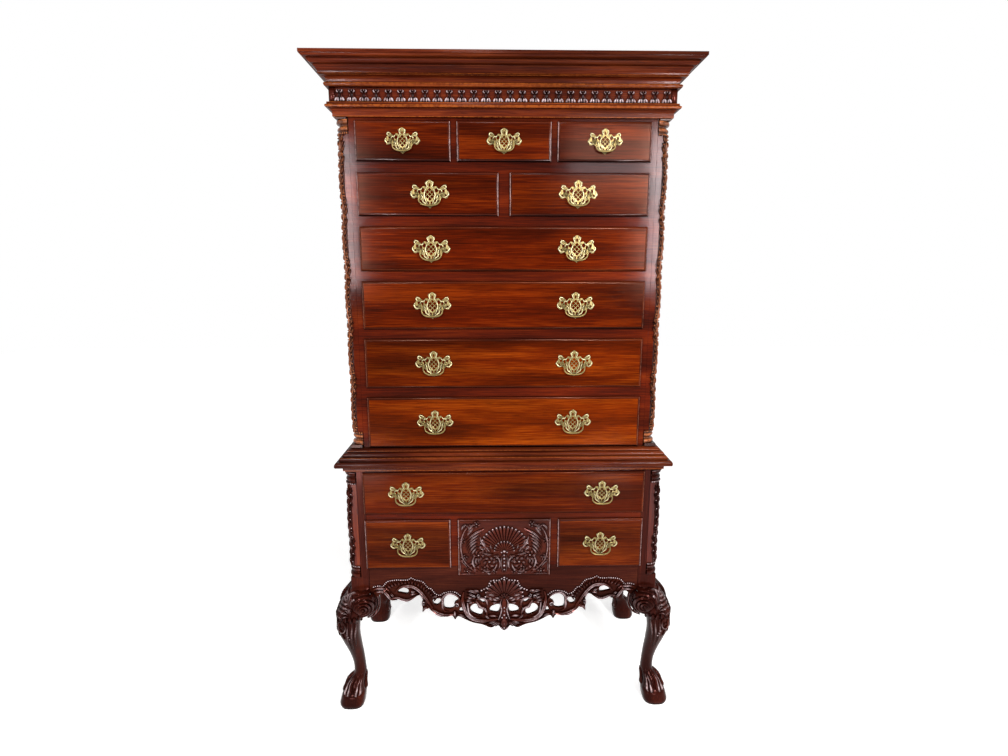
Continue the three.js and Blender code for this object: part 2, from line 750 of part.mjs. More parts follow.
// Cornice profile: a plain member and a cove under the carved band, then the crown
const friezeBandTopShare = 0.83;
const lowerMemberShares = [
  [0.44, 0], [0.44, 0.14], [0.6, 0.195], [0.89, 0.23], [1.33, 0.25], [1.4, 0.3], [1.28, 0.36],
];
const upperMemberShares = [[1, 0.83], [1.28, 0.86], [1.36, 0.91], [1.22, 0.96], [0.94, 1]];
const crownShares = [
  [0.25, 0.07], [0.29, 0.12], [0.36, 0.18], [0.45, 0.21], [0.47, 0.23], [0.49, 0.35], [0.55, 0.48],
  [0.6, 0.53], [0.61, 0.56], [0.71, 0.595], [0.76, 0.65], [0.79, 0.72], [0.81, 0.73], [0.92, 0.77],
  [0.97, 0.83], [1, 0.9], [1, 1],
];

function corniceSolid() {
  const member = ([out, rise]) => [out * friezeProjection, corniceBottom + rise * friezeHeight];
  const crown = ([out, rise]) => [out * corniceProjection, crownBottom + rise * crownHeight];
  const bandTop = corniceBottom + friezeBandTopShare * friezeHeight;
  const bandBottom = bandTop - friezeBandHeight;
  const profile = [
    [seam, corniceBottom],
    ...lowerMemberShares.map(member),
    [friezeProjection, bandBottom],
    [friezeBackProjection, bandBottom],
    [friezeBackProjection, bandTop],
    ...upperMemberShares.map(member),
    ...crownShares.map(crown),
    [seam, totalHeight],
  ];
  return mitredMoulding(profile, upperHalf, caseSetback, lowerDepth);
}

// Carved band: a row of paired leaves round three sides, with plain blocks at the corners.
// Each motif in plan, as shares of its pitch and of its relief
const motifShares = [[0, 0], [0.22, 1], [0.5, 0.4], [0.78, 1]];

function motifRun(from, to, count, outward) {
  const points = [];
  for (let motif = 0; motif < count; motif += 1) {
    motifShares.forEach(([along, lift]) => {
      const point = from.clone().lerp(to, (motif + along) / count);
      points.push(point.addScaledVector(outward, lift * motifRelief));
    });
  }
  points.push(to.clone());
  return points;
}

function friezeSolid() {
  const back = lowerDepth;
  const base = friezeProjection - motifRelief - seam;
  const inner = friezeBackProjection + seam;
  const half = upperHalf + base;
  const front = caseSetback - base;
  const proud = motifRelief / 2;
  const pitch = 2 * (half - friezeEndBlock) / motifCount;
  const sideCount = Math.round((back - front - friezeEndBlock) / pitch);
  const corner = (side) => [
    new THREE.Vector2(side * (half + proud), front + friezeEndBlock),
    new THREE.Vector2(side * (half + proud), front - proud),
    new THREE.Vector2(side * (half - friezeEndBlock), front - proud),
  ];
  const leftSide = motifRun(
    new THREE.Vector2(-half, back), new THREE.Vector2(-half, front + friezeEndBlock), sideCount,
    new THREE.Vector2(-1, 0),
  );
  const across = motifRun(
    new THREE.Vector2(friezeEndBlock - half, front), new THREE.Vector2(half - friezeEndBlock, front),
    motifCount, new THREE.Vector2(0, -1),
  );
  const rightSide = leftSide.map((point) => new THREE.Vector2(-point.x, point.y)).reverse();
  const insideHalf = upperHalf + inner;
  const insideFront = caseSetback - inner;
  const outline = [
    ...leftSide, ...corner(-1), ...across, ...corner(1).reverse(), ...rightSide,
    new THREE.Vector2(insideHalf, back), new THREE.Vector2(insideHalf, insideFront),
    new THREE.Vector2(-insideHalf, insideFront), new THREE.Vector2(-insideHalf, back),
  ];
  const height = friezeBandHeight - 2 * seam;
  const shape = new THREE.Shape(outline);
  const geometry = new THREE.ExtrudeGeometry(shape, { depth: height, bevelEnabled: false });
  const bottom = corniceBottom + friezeBandTopShare * friezeHeight - friezeBandHeight + seam;
  return toSolid(geometry.translate(0, 0, bottom));
}

// Waist moulding: stepped reeds over a broad nose, shares of its reach and of its full height
const waistShares = [
  [0.577, 0], [0.596, 0.157], [0.65, 0.207], [0.9, 0.221], [0.98, 0.257], [1, 0.314], [1, 0.371],
  [0.97, 0.443], [0.885, 0.486], [0.73, 0.507], [0.73, 0.543], [0.7, 0.629], [0.615, 0.679], [0.55, 0.693],
  [0.55, 0.729], [0.51, 0.8], [0.4, 0.857], [0.33, 0.871], [0.32, 0.907], [0.24, 0.964], [0.125, 1],
];

function waistSolid() {
  const reach = caseSetback + waistNoseProjection;
  const bottom = lowerTop - waistDrop;
  const height = waistHeight + waistDrop;
  const profile = [
    [caseSetback + seam, bottom],
    ...waistShares.map(([out, rise]) => [out * reach, bottom + rise * height]),
    [seam, waistTop],
    [seam, upperBottom],
    [caseSetback + seam, upperBottom],
  ];
  return mitredMoulding(profile, upperHalf, caseSetback, lowerDepth);
}

// Brass pulls: right half of the plate as shares of its half width, and of its rise or fall
const plateShares = [
  [0, 1], [0.19, 0.87], [0.14, 0.62], [0.37, 0.52], [0.27, 0.25], [0.37, 0.1], [0.49, 0.43], [0.66, 0.69],
  [0.87, 0.68], [0.8, 0.48], [1, 0], [0.88, -0.22], [0.42, -0.12], [0.36, -0.32], [0.1, -0.7], [0, -1],
];
// Right half of the bail: shares of its half bore, of its drop and of its thickening to the grip
const bailShares = [
  [0.84, 0, 0], [0.81, 0.08, 0.05], [0.85, 0.36, 0.1], [0.79, 0.69, 0.3], [0.55, 0.91, 0.65], [0, 1, 1],
];
const bailSides = 6;
const postSides = 6;

function pullSizes(share) {
  return {
    halfBore: share * boreSpacing / 2,
    halfPlate: share * plateWidth / 2,
    rise: share * plateRise,
    fall: share * plateFall,
    reach: share * postReach,
    drop: share * bailDrop,
  };
}

function standingPost(x, reach) {
  const headBack = reach - postHeadRadius;
  const profile = [
    [0, 0], [postRadius, 0], [postRadius, headBack], [postHeadRadius, reach - postHeadRadius / 2],
    [postHeadRadius, reach + postHeadRadius / 2], [postHeadRadius / 2, reach + postHeadRadius],
    [0, reach + postHeadRadius],
  ];
  const points = profile.map(([radius, out]) => new THREE.Vector2(radius, -out));
  const lathe = bareGeometry(new THREE.LatheGeometry(points, postSides));
  return toSolid(facedOut(mergeVertices(lathe.translate(x, -plateThickness, 0))));
}

function socketCut(side, halfBore, y) {
  const mouth = halfBore - postHeadRadius;
  const length = socketDepth + postHeadRadius;
  const radius = bailPinRadius + socketClearance;
  const cylinder = bareGeometry(new THREE.CylinderGeometry(radius, radius, length, postSides));
  const middle = mouth + socketDepth - length / 2;
  return toSolid(cylinder.rotateZ(Math.PI / 2).translate(side * middle, y, 0));
}

function plateSolid(size) {
  const right = plateShares.map(([across, up]) => (
    [across * size.halfPlate, up * (up > 0 ? size.rise : size.fall)]
  ));
  const left = right.slice(1, -1).reverse().map(([x, z]) => [-x, z]);
  const plate = standingBoard([...right, ...left], [], -plateThickness - seam, -seam);
  const pinY = -plateThickness - size.reach;
  const posts = [-1, 1].map((side) => standingPost(side * size.halfBore, size.reach));
  const sockets = [-1, 1].map((side) => socketCut(side, size.halfBore, pinY));
  return lessAll(joined([plate, ...posts]), sockets);
}

function bailSolid(size) {
  const pinEnd = size.halfBore - postHeadRadius + socketDepth - seam;
  const right = [
    [pinEnd, 0, bailPinRadius],
    ...bailShares.map(([across, down, thick]) => [
      across * size.halfBore, -down * size.drop, bailWireRadius + (bailGripRadius - bailWireRadius) * thick,
    ]),
  ];
  const path = [...right, ...right.slice(0, -1).reverse().map(([x, z, radius]) => [-x, z, radius])];
  const y = -plateThickness - size.reach;
  const rings = path.map(([x, z, radius], place) => {
    const [beforeX, beforeZ] = path[Math.max(place - 1, 0)];
    const [afterX, afterZ] = path[Math.min(place + 1, path.length - 1)];
    const along = new THREE.Vector2(afterX - beforeX, afterZ - beforeZ).normalize();
    return Array.from({ length: bailSides }, (_, side) => {
      const angle = Math.PI * 2 * side / bailSides;
      const sideways = radius * Math.cos(angle);
      const outward = radius * Math.sin(angle);
      return new THREE.Vector3(x - sideways * along.y, y + outward, z + sideways * along.x);
    });
  });
  return toSolid(skinOver(rings));
}

function pullPlaces(drawer) {
  const z = (drawer.top + drawer.bottom) / 2;
  const middle = (drawer.left + drawer.right) / 2;
  const one = (x, share) => [{ x, z, side: drawer.name, share }];
  if (drawer.name === 'carved') return [];
  if (drawer.number === 1) return one(middle, smallPullShare);
  if (drawer.number === 2) return one(Math.sign(middle) * (upperLipSpan / 2 - upperPullInset), 1);
  if (drawer.number === 8) return one(middle, 1);
  const reach = drawer.right - (drawer.number === 7 ? lowerPullInset : upperPullInset);
  return [['left', -1], ['right', 1]].map(([side, sign]) => ({ x: sign * reach, z, side, share: 1 }));
}

function addPulls() {
  drawers.forEach((drawer) => pullPlaces(drawer).forEach(({ x, z, side, share }) => {
    const size = pullSizes(share);
    const y = drawer.frontY - lipThickness;
    const plate = addNode(nodeName('pull_plate', drawer, side), plateSolid(size), brass);
    const bail = addNode(nodeName('bail', drawer, side), bailSolid(size), brass);
    plate.position.set(x, y, z);
    bail.position.set(x, y, z);
  }));
}

// Assembly
addNode('upper_case', upperCaseSolid(), frameWood);
addNode('upper_back_panel', upperBackSolid(), backWood);
for (const [hand, side] of [['left', 1], ['right', -1]]) {
  const column = turnedTo(upperColumnSolid(), side, 1, -side * upperHalf, caseSetback);
  addNode(`upper_column_${hand}`, column, carvedWood);
}
addNode('cornice', corniceSolid(), frameWood);
addNode('frieze_band', friezeSolid(), carvedWood);
addNode('waist_moulding', waistSolid(), frameWood);
addNode('lower_case', lowerCaseSolid(), frameWood);
addNode('apron', apronSolid(), carvedWood);
addLegs();
addDrawers();
addPulls();

const box = new THREE.Box3().setFromObject(highboy);
highboy.position.set(-(box.min.x + box.max.x) / 2, -(box.min.y + box.max.y) / 2, -box.min.z);

export default highboy;
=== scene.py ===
"""Highboy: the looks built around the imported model. Metres, +X right, +Y back, +Z up."""

import math

import bmesh
import bpy
import numpy as np
from mathutils import Matrix, Vector


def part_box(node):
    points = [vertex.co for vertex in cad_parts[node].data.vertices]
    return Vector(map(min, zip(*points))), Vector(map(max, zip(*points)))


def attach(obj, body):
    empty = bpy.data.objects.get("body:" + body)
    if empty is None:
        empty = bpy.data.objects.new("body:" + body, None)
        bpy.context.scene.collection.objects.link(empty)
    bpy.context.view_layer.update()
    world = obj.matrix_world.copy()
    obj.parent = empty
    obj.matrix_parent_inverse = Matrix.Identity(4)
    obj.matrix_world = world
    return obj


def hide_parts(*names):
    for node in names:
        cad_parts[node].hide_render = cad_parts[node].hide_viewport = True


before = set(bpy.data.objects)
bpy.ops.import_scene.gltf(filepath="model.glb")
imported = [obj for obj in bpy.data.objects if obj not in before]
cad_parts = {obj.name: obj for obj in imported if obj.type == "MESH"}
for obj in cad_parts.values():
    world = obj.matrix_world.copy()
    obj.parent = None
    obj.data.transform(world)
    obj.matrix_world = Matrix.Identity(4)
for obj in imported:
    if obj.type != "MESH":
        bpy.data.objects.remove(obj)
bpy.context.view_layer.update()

MM = 0.001
SIDES = ((-1, "left"), (1, "right"))
CARCASS = "carcass"

# Camera
camera_place = Vector((-0.0366, -1.9519, 1.4789))
camera_pitch_deg = 79.2
camera_yaw_deg = -1.195
camera_lens_mm = 19.77
camera_sensor_mm = 36

# Places taken from the frame
waist_overhang = 27 * MM
waist_lap = 12 * MM
lower_case_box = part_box("lower_case")
upper_case_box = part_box("upper_case")
column_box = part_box("upper_column_left")
cornice_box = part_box("cornice")
frieze_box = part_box("frieze_band")
waist_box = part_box("waist_moulding")
lower_half = lower_case_box[1].x
upper_half = upper_case_box[1].x
lower_front = waist_box[0].y + waist_overhang
upper_front = upper_case_box[0].y
back_plane = upper_case_box[1].y
leg_height = lower_case_box[0].z
lower_top = waist_box[0].z + waist_lap


def make_camera():
    data = bpy.data.cameras.new("camera")
    data.lens = camera_lens_mm
    data.sensor_width = camera_sensor_mm
    camera = bpy.data.objects.new("camera", data)
    camera.location = camera_place
    camera.rotation_euler = (math.radians(camera_pitch_deg), 0, math.radians(camera_yaw_deg))
    bpy.context.scene.collection.objects.link(camera)
    bpy.context.scene.camera = camera


# Materials
class Nodes:
    """Short names for building a material's node tree."""

    def __init__(self, name):
        self.material = bpy.data.materials.new(name)
        self.material.use_nodes = True
        self.tree = self.material.node_tree
        self.shader = self.tree.nodes["Principled BSDF"]
        self.place = self.add("ShaderNodeTexCoord").outputs["Object"]

    def add(self, kind, inputs=(), **settings):
        node = self.tree.nodes.new(kind)
        for key, value in settings.items():
            setattr(node, key, value)
        for key, value in dict(inputs).items():
            self.link(value, node.inputs[key])
        return node

    def link(self, value, socket):
        if isinstance(value, bpy.types.NodeSocket):
            self.tree.links.new(value, socket)
        else:
            socket.default_value = value

    def math(self, operation, a, b=0.0, c=0.0):
        node = self.add("ShaderNodeMath", {0: a, 1: b, 2: c}, operation=operation)
        return node.outputs[0]

    def noise(self, place, scale, detail=3.0, rough=0.55, twist=0.0):
        inputs = {"Vector": place, "Scale": scale, "Detail": detail, "Roughness": rough, "Distortion": twist}
        return self.add("ShaderNodeTexNoise", inputs).outputs["Fac"]

    # Per point: how much polish has rubbed off and how bright a highlight is painted
    def rub_and_highlight(self):
        return self.add("ShaderNodeAttribute", attribute_name="rub_and_highlight").outputs["Fac"]

    def occlusion(self, reach):
        return self.add("ShaderNodeAmbientOcclusion", {"Distance": reach}, samples=4).outputs["AO"]

    def ramp(self, factor, stops):
        node = self.add("ShaderNodeValToRGB", {"Fac": factor})
        elements = node.color_ramp.elements
        elements[0].position, elements[0].color = stops[0][0], (*stops[0][1], 1)
        elements[1].position, elements[1].color = stops[-1][0], (*stops[-1][1], 1)
        for position, colour in stops[1:-1]:
            elements.new(position).color = (*colour, 1)
        return node.outputs["Color"]

    def fade(self, value, low, high, start=0.0, end=1.0):
        inputs = {"Value": value, "From Min": low, "From Max": high, "To Min": start, "To Max": end}
        return self.add("ShaderNodeMapRange", inputs).outputs["Result"]

    def mix(self, factor, a, b, blend="MIX"):
        node = self.add("ShaderNodeMix", {"Factor": factor}, data_type="RGBA", blend_type=blend)
        for value, socket in ((a, node.inputs[6]), (b, node.inputs[7])):
            self.link((*value, 1) if isinstance(value, tuple) and len(value) == 3 else value, socket)
        return node.outputs[2]

    def bump(self, height, strength, distance, under=None):
        inputs = {"Height": height, "Strength": strength, "Distance": distance}
        if under is not None:
            inputs["Normal"] = under
        return self.add("ShaderNodeBump", inputs).outputs["Normal"]


# Layers of the grain: scale along and across the fibres, detail, roughness and twist
FIGURE = (1.3, 15.0, 4, 0.6, 0.35)
FIBRE = (9.0, 420.0, 2, 0.6)
PORES = (22.0, 760.0, 1, 0.5)
BLOTCHES = (1.5, 9.0, 2, 0.5)
fibre_share = 0.42
figure_share = 0.62
tone_stops = (0.36, 0.52, 0.68)
blotch_fade = (0.34, 0.66, 0.5, 1.36)
pore_fade = (0.6, 0.72)
pore_share = 0.55
pore_tone = 0.35
pore_depth = 0.15 * MM
pore_rough = 0.05
polish_scale = 38.0
polish_depth = 0.15 * MM
polish_spread = (0.85, 1.2)
smudge_scale = 7.0
# Patches that break up the wear and painted highlight on high points
patch_scale = 110.0
patch_fade = (0.38, 0.58, 0.3, 1.0)
# Painted highlight: |normal x| over which a lip's sides are lit, and normal z over which tops are lit more
# than undersides
upright_fade = (0.3, 0.6)
facing_up = (-0.4, 0.4)


def grain_layer(nodes, axis, offset, along, across, detail, rough, twist=0.0):
    """Noise drawn out along one axis."""
    scale = tuple(along if name == axis else across for name in "xyz")
    place = nodes.add("ShaderNodeMapping", {0: nodes.place, "Scale": scale, "Location": offset}).outputs[0]
    return nodes.noise(place, 1.0, detail, rough, twist)


def grain_colour(nodes, axis, tones, offset):
    """Colour of the wood with its fibres along one axis, and the dark pores."""
    figure, fibre, pore, blotch = (grain_layer(nodes, axis, offset, *layer)
                                   for layer in (FIGURE, FIBRE, PORES, BLOTCHES))
    figure = nodes.math("MULTIPLY_ADD", fibre, fibre_share, nodes.math("MULTIPLY", figure, figure_share))
    colour = nodes.ramp(figure, list(zip(tone_stops, tones)))
    shade = nodes.fade(blotch, *blotch_fade)
    shades = nodes.add("ShaderNodeCombineColor", {0: shade, 1: shade, 2: shade}).outputs[0]
    colour = nodes.mix(1.0, colour, shades, "MULTIPLY")
    holes = nodes.fade(pore, *pore_fade)
    darkest = tuple(pore_tone * tone for tone in tones[0])
    return nodes.mix(nodes.math("MULTIPLY", holes, pore_share), colour, darkest), holes


def wood(name, axis, tones, rough, level, tint, offset=(0, 0, 0), painted_shade=None, second=None, wear_and_highlight=None):
    """Polished wood. second gives (grain axis, least |x|) of parts whose fibres run another way;
    painted_shade is (reach, colour, occlusion that is darkest, that is clear) of a painted shade in crevices
    and next to other parts, which also dims the reflections there; wear_and_highlight is (colour,
    rub_and_highlight where it starts and is full, share on undersides or "upright" for a lip): a colour on
    high points, partly rubbed polish and partly a painted highlight that is stronger on top sides as if lit
    from above, or on a lip a painted highlight at its left and right sides and a painted shade below."""
    nodes = Nodes(name)
    colour, holes = grain_colour(nodes, axis, tones, offset)
    if second:
        other_axis, limit = second
        parts = nodes.add("ShaderNodeSeparateXYZ", {0: nodes.place})
        outside = nodes.math("GREATER_THAN", nodes.math("ABSOLUTE", parts.outputs[0]), limit)
        other_colour, other_holes = grain_colour(nodes, other_axis, tones, offset)
        colour = nodes.mix(outside, colour, other_colour)
        holes = nodes.add("ShaderNodeMix", {"Factor": outside, 2: holes, 3: other_holes}).outputs[0]
    if wear_and_highlight:
        rubbed_and_lit, start, full, below = wear_and_highlight
        upright = below == "upright"
        # High points take this colour in patches, partly as rubbed polish and partly as a painted highlight:
        # more on top sides than undersides, as if lit from above, and on a lip only at its left and right
        # sides
        patchy = nodes.fade(nodes.noise(nodes.place, patch_scale, 2, 0.6), *patch_fade)
        lie = nodes.add("ShaderNodeSeparateXYZ", {0: nodes.add("ShaderNodeNewGeometry").outputs["Normal"]})
        if upright:
            lit = nodes.fade(nodes.math("ABSOLUTE", lie.outputs[0]), *upright_fade)
        else:
            lit = nodes.fade(lie.outputs[2], *facing_up, below, 1.0)
        share = nodes.math("MULTIPLY", nodes.fade(nodes.rub_and_highlight(), start, full), lit)
        colour = nodes.mix(nodes.math("MULTIPLY", share, patchy), colour, rubbed_and_lit)
        # A lip's underside takes a painted shade
        if upright:
            under = nodes.fade(lie.outputs[2], *painted_shade_below, 1.0, 0.0)
            colour = nodes.mix(under, colour, crevice_shade)
    # Painted shade in crevices and next to other parts, from occlusion
    if painted_shade:
        reach, shade, dark_at, clear_at = painted_shade
        open_share = nodes.occlusion(reach)
        colour = nodes.mix(nodes.fade(open_share, dark_at, clear_at, 1.0, 0.0), colour, shade)
    nodes.link(colour, nodes.shader.inputs["Base Color"])
    smudge = nodes.noise(nodes.place, smudge_scale, 3, 0.6)
    roughness = nodes.fade(smudge, 0.3, 0.7, *(rough * spread for spread in polish_spread))
    nodes.link(nodes.math("MULTIPLY_ADD", holes, pore_rough, roughness), nodes.shader.inputs["Roughness"])
    # Reflections are dimmed where the shade is painted, and on a lip's painted underside
    if painted_shade:
        sheen = nodes.fade(open_share, dark_at, clear_at, dull_share * level, level)
        if wear_and_highlight and upright:
            sheen = nodes.math("MULTIPLY", sheen, nodes.fade(under, 0, 1, 1, dull_share))
        if second:
            sheen = nodes.math("MULTIPLY", sheen, nodes.fade(outside, 0, 1, 1, stile_sheen))
        nodes.link(sheen, nodes.shader.inputs["Specular IOR Level"])
    else:
        nodes.shader.inputs["Specular IOR Level"].default_value = level
    nodes.shader.inputs["Specular Tint"].default_value = (*tint, 1)
    waves = nodes.bump(nodes.noise(nodes.place, polish_scale, 2, 0.5), 0.25, polish_depth)
    pores = nodes.bump(nodes.math("SUBTRACT", 1.0, holes), 0.1, pore_depth, waves)
    nodes.link(pores, nodes.shader.inputs["Normal"])
    return nodes.material


def raw_wood(name, axis, tones, offset=(0, 0, 0)):
    """Unpolished board: drawer sides, bottoms and backs."""
    nodes = Nodes(name)
    colour, holes = grain_colour(nodes, axis, tones, offset)
    nodes.link(colour, nodes.shader.inputs["Base Color"])
    nodes.shader.inputs["Roughness"].default_value = raw_rough
    nodes.shader.inputs["Specular IOR Level"].default_value = raw_gloss
    nodes.link(nodes.bump(nodes.math("SUBTRACT", 1.0, holes), 0.5, pore_depth), nodes.shader.inputs["Normal"])
    return nodes.material


BRASS_STOPS = [(0.3, (0.1, 0.07, 0.026)), (0.5, (0.17, 0.128, 0.05)), (0.7, (0.3, 0.24, 0.11))]
brass_dirt_and_shade = (0.03, 0.024, 0.012)
brass_bright = (0.74, 0.66, 0.4)
brass_shade_reach = 5 * MM
# Scale, detail and roughness of the stains and of the larger mottling
brass_stains = (160.0, 4, 0.6)
brass_mottle = (26.0, 2, 0.5)


def brass():
    """Cast brass: dirt and painted shade darken its hollows, and the crests of its raised scrolls are
    brighter, partly rubbed by hands and partly a painted highlight.
    """
    nodes = Nodes("brass")
    stain = nodes.noise(nodes.place, *brass_stains)
    colour = nodes.ramp(nodes.noise(nodes.place, *brass_mottle), BRASS_STOPS)
    # Dirt and painted shade in the hollows, from occlusion, in stained patches
    depth = nodes.fade(nodes.occlusion(brass_shade_reach), 0.6, 1.0, 1.0, 0.0)
    dirt_and_shade = nodes.math("MULTIPLY", nodes.fade(stain, 0.3, 0.55, 0.45, 1.0), depth)
    colour = nodes.mix(dirt_and_shade, colour, brass_dirt_and_shade)
    # Crests rubbed bright, partly a painted highlight
    colour = nodes.mix(nodes.fade(nodes.rub_and_highlight(), 0.55, 1.0, 0.0, 0.65), colour, brass_bright)
    nodes.link(colour, nodes.shader.inputs["Base Color"])
    nodes.shader.inputs["Metallic"].default_value = 1.0
    nodes.link(nodes.fade(stain, 0.3, 0.7, 0.28, 0.46), nodes.shader.inputs["Roughness"])
    nodes.link(nodes.bump(stain, 0.3, 0.2 * MM), nodes.shader.inputs["Normal"])
    return nodes.material


frame_tones = ((0.021, 0.0027, 0.001), (0.072, 0.0068, 0.0012), (0.135, 0.018, 0.0026))
lip_tones = ((0.022, 0.003, 0.001), (0.06, 0.0078, 0.0014), (0.13, 0.021, 0.003))
carved_tones = ((0.011, 0.0018, 0.0009), (0.034, 0.0046, 0.0017), (0.072, 0.011, 0.0032))
column_tones = ((0.006, 0.001, 0.0005), (0.024, 0.004, 0.0014), (0.06, 0.012, 0.004))
rail_tones = ((0.009, 0.0019, 0.0012), (0.027, 0.005, 0.0028), (0.056, 0.012, 0.005))
leg_tones = ((0.009, 0.0016, 0.001), (0.024, 0.0034, 0.0018), (0.055, 0.009, 0.0035))
moulding_tones = ((0.018, 0.003, 0.0016), (0.062, 0.0088, 0.0028), (0.145, 0.026, 0.0055))
raw_tones = ((0.26, 0.13, 0.06), (0.4, 0.22, 0.11), (0.52, 0.32, 0.17))
crevice_shade = (0.003, 0.0008, 0.0006)
raw_rough = 0.62
raw_gloss = 0.25
# Share of the reflection kept where the painted shade is darkest, and on a lip's underside
dull_share = 0.1
# Colours on high points, where they start and are full, and their share on undersides: partly rubbed polish
# and partly a painted highlight, lighter on top sides as if lit from above; a lip's is a painted highlight on
# its left and right sides, with painted shade below
column_wear_and_highlight = ((0.46, 0.135, 0.04), 0.35, 0.95, 0.35)
carved_wear_and_highlight = ((0.66, 0.53, 0.56), 0.76, 1.0, 0.12)
leg_wear_and_highlight = ((0.56, 0.42, 0.43), 0.82, 1.1, 0.12)
moulding_wear_and_highlight = ((0.36, 0.09, 0.013), 0.45, 1.0, 0.5)
lip_painted_highlight_and_shade = ((0.16, 0.06, 0.04), 0.3, 0.9, "upright")
bright_lip_painted_highlight_and_shade = ((0.42, 0.28, 0.27), 0.3, 0.9, "upright")
# Rows of drawers whose lips take the brighter painted highlight at their sides
BRIGHT_LIP_ROWS = ("1", "2", "8")
# Painted shade by occlusion: reach, shade colour, and occlusion where it is darkest and where it is clear;
# the case's is a dark painted shadow round the drawers' lips
PAINTED_SHADES = {
    "case": (24 * MM, (0.002, 0.0006, 0.0005), 0.62, 0.82),
    "lip": (12 * MM, crevice_shade, 0.6, 0.88),
    "column": (4 * MM, crevice_shade, 0.35, 0.97),
    "moulding": (6 * MM, crevice_shade, 0.35, 0.97),
    "leg": (9 * MM, crevice_shade, 0.35, 0.97),
    "carved": (11 * MM, crevice_shade, 0.35, 0.97),
}
# Normal z over which a lip's underside takes a painted shade
painted_shade_below = (-0.55, -0.12)
stile_wide = 18 * MM
case_rough = 0.11
carved_rough = 0.13
moulding_rough = 0.14
lip_rough = 0.16
column_rough = 0.24
field_gloss = 0.052
field_tint = (1.0, 0.56, 0.42)
lip_gloss = 0.14
leg_gloss = 0.12
rail_gloss = 0.08
frame_gloss = 0.052
stile_sheen = 4.2
frame_tint = (0.95, 0.86, 0.9)
carved_gloss = 0.25
carved_tint = (1.0, 0.4, 0.36)
column_gloss = 0.3
column_tint = (1.0, 0.8, 0.78)


def make_materials():
    made = {"raw_x": raw_wood("drawer_back_wood", "x", raw_tones),
            "raw_y": raw_wood("drawer_side_wood", "y", raw_tones, (3, 1, 2)), "brass": brass()}
    case = PAINTED_SHADES["case"]
    for key, name, least in (("upper", "case_wood", stile_wide - column_box[1].x),
                             ("lower", "lower_case_wood", lower_half - post_width * MM)):
        made[key] = wood(name, "x", frame_tones, case_rough, frame_gloss, frame_tint, painted_shade=case,
                         second=("z", least))
    for key, painted_shade, axis, tones, rough, level, tint, wear_and_highlight in (
        ("leg", "leg", "z", leg_tones, carved_rough, leg_gloss, carved_tint, leg_wear_and_highlight),
        ("column", "column", "z", column_tones, column_rough, column_gloss, column_tint, column_wear_and_highlight),
        ("carved", "carved", "x", carved_tones, carved_rough, carved_gloss, carved_tint, carved_wear_and_highlight),
        ("moulding", "moulding", "x", moulding_tones, moulding_rough, frame_gloss, frame_tint, moulding_wear_and_highlight),
        ("lip", "lip", "x", lip_tones, lip_rough, lip_gloss, field_tint, lip_painted_highlight_and_shade),
        ("bright_lip", "lip", "x", lip_tones, lip_rough, lip_gloss, frame_tint, bright_lip_painted_highlight_and_shade),
        ("apron", "leg", "x", rail_tones, lip_rough, rail_gloss, carved_tint, None),
    ):
        made[key] = wood(f"{key}_wood", axis, tones, rough, level, tint, painted_shade=PAINTED_SHADES[painted_shade], wear_and_highlight=wear_and_highlight)
    return made


# Mesh helpers
class Shape:
    """Gathers points and faces of one piece, and how much polish has rubbed off at each point and how bright
    a highlight is painted there.
    """

    def __init__(self):
        self.points = []
        self.faces = []
        self.inks = []
        self.rubs_and_highlights = []
        self.count = 0

    def add(self, points, faces, ink=0, rub_and_highlight=None):
        points = np.asarray(points, float).reshape(-1, 3)
        self.points.append(points)
        self.rubs_and_highlights.append(np.zeros(len(points)) if rub_and_highlight is None else np.asarray(rub_and_highlight, float).ravel())
        self.faces.extend(tuple(int(i) + self.count for i in face) for face in faces)
        self.inks.extend([ink] * len(faces))
        self.count += len(points)

    def grid(self, rows, ink=0, caps=True, rub_and_highlight=None):
        """A skin over rows of points, each row closed on itself."""
        rows = np.asarray(rows, float)
        count, around = rows.shape[:2]
        faces = []
        for row in range(count - 1):
            for side in range(around):
                a, b = row * around + side, row * around + (side + 1) % around
                faces.append((a, b, b + around, a + around))
        if caps:
            faces.append(tuple(range(around))[::-1])
            faces.append(tuple(range((count - 1) * around, count * around)))
        self.add(rows.reshape(-1, 3), faces, ink, rub_and_highlight)

    def join(self, other, scale=(1, 1, 1)):
        """Adds another shape, scaled by the signs given."""
        step = -1 if np.prod(scale) < 0 else 1
        self.faces.extend([tuple(i + self.count for i in face[::step]) for face in other.faces])
        self.points.append(np.concatenate(other.points) * np.asarray(scale, float))
        self.rubs_and_highlights.append(np.concatenate(other.rubs_and_highlights))
        self.inks.extend(list(other.inks))
        self.count += len(self.points[-1])

    def mirrored(self, scale):
        self.join(self, scale)

    def build(self, name, materials, sharp_deg=None):
        mesh = bpy.data.meshes.new(name)
        mesh.from_pydata(np.concatenate(self.points).tolist(), [], self.faces)
        for material in materials:
            mesh.materials.append(material)
        mesh.polygons.foreach_set("material_index", np.array(self.inks, np.int32))
        mesh.polygons.foreach_set("use_smooth", np.ones(len(self.faces), bool))
        mesh.update()
        tidy_normals(mesh)
        if sharp_deg is not None:
            mesh.set_sharp_from_angle(angle=math.radians(sharp_deg))
        rubbed_and_lit = mesh.attributes.new("rub_and_highlight", "FLOAT", "POINT")
        rubbed_and_lit.data.foreach_set("value", np.concatenate(self.rubs_and_highlights).astype(np.float32))
        piece = bpy.data.objects.new(name, mesh)
        bpy.context.scene.collection.objects.link(piece)
        return piece


def tidy_normals(mesh):
    made = bmesh.new()
    made.from_mesh(mesh)
    bmesh.ops.recalc_face_normals(made, faces=made.faces)
    made.to_mesh(mesh)
    made.free()


def seat(piece, body, slot_name, *nodes):
    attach(piece, body)
    if nodes:
        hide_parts(*nodes)
    return piece


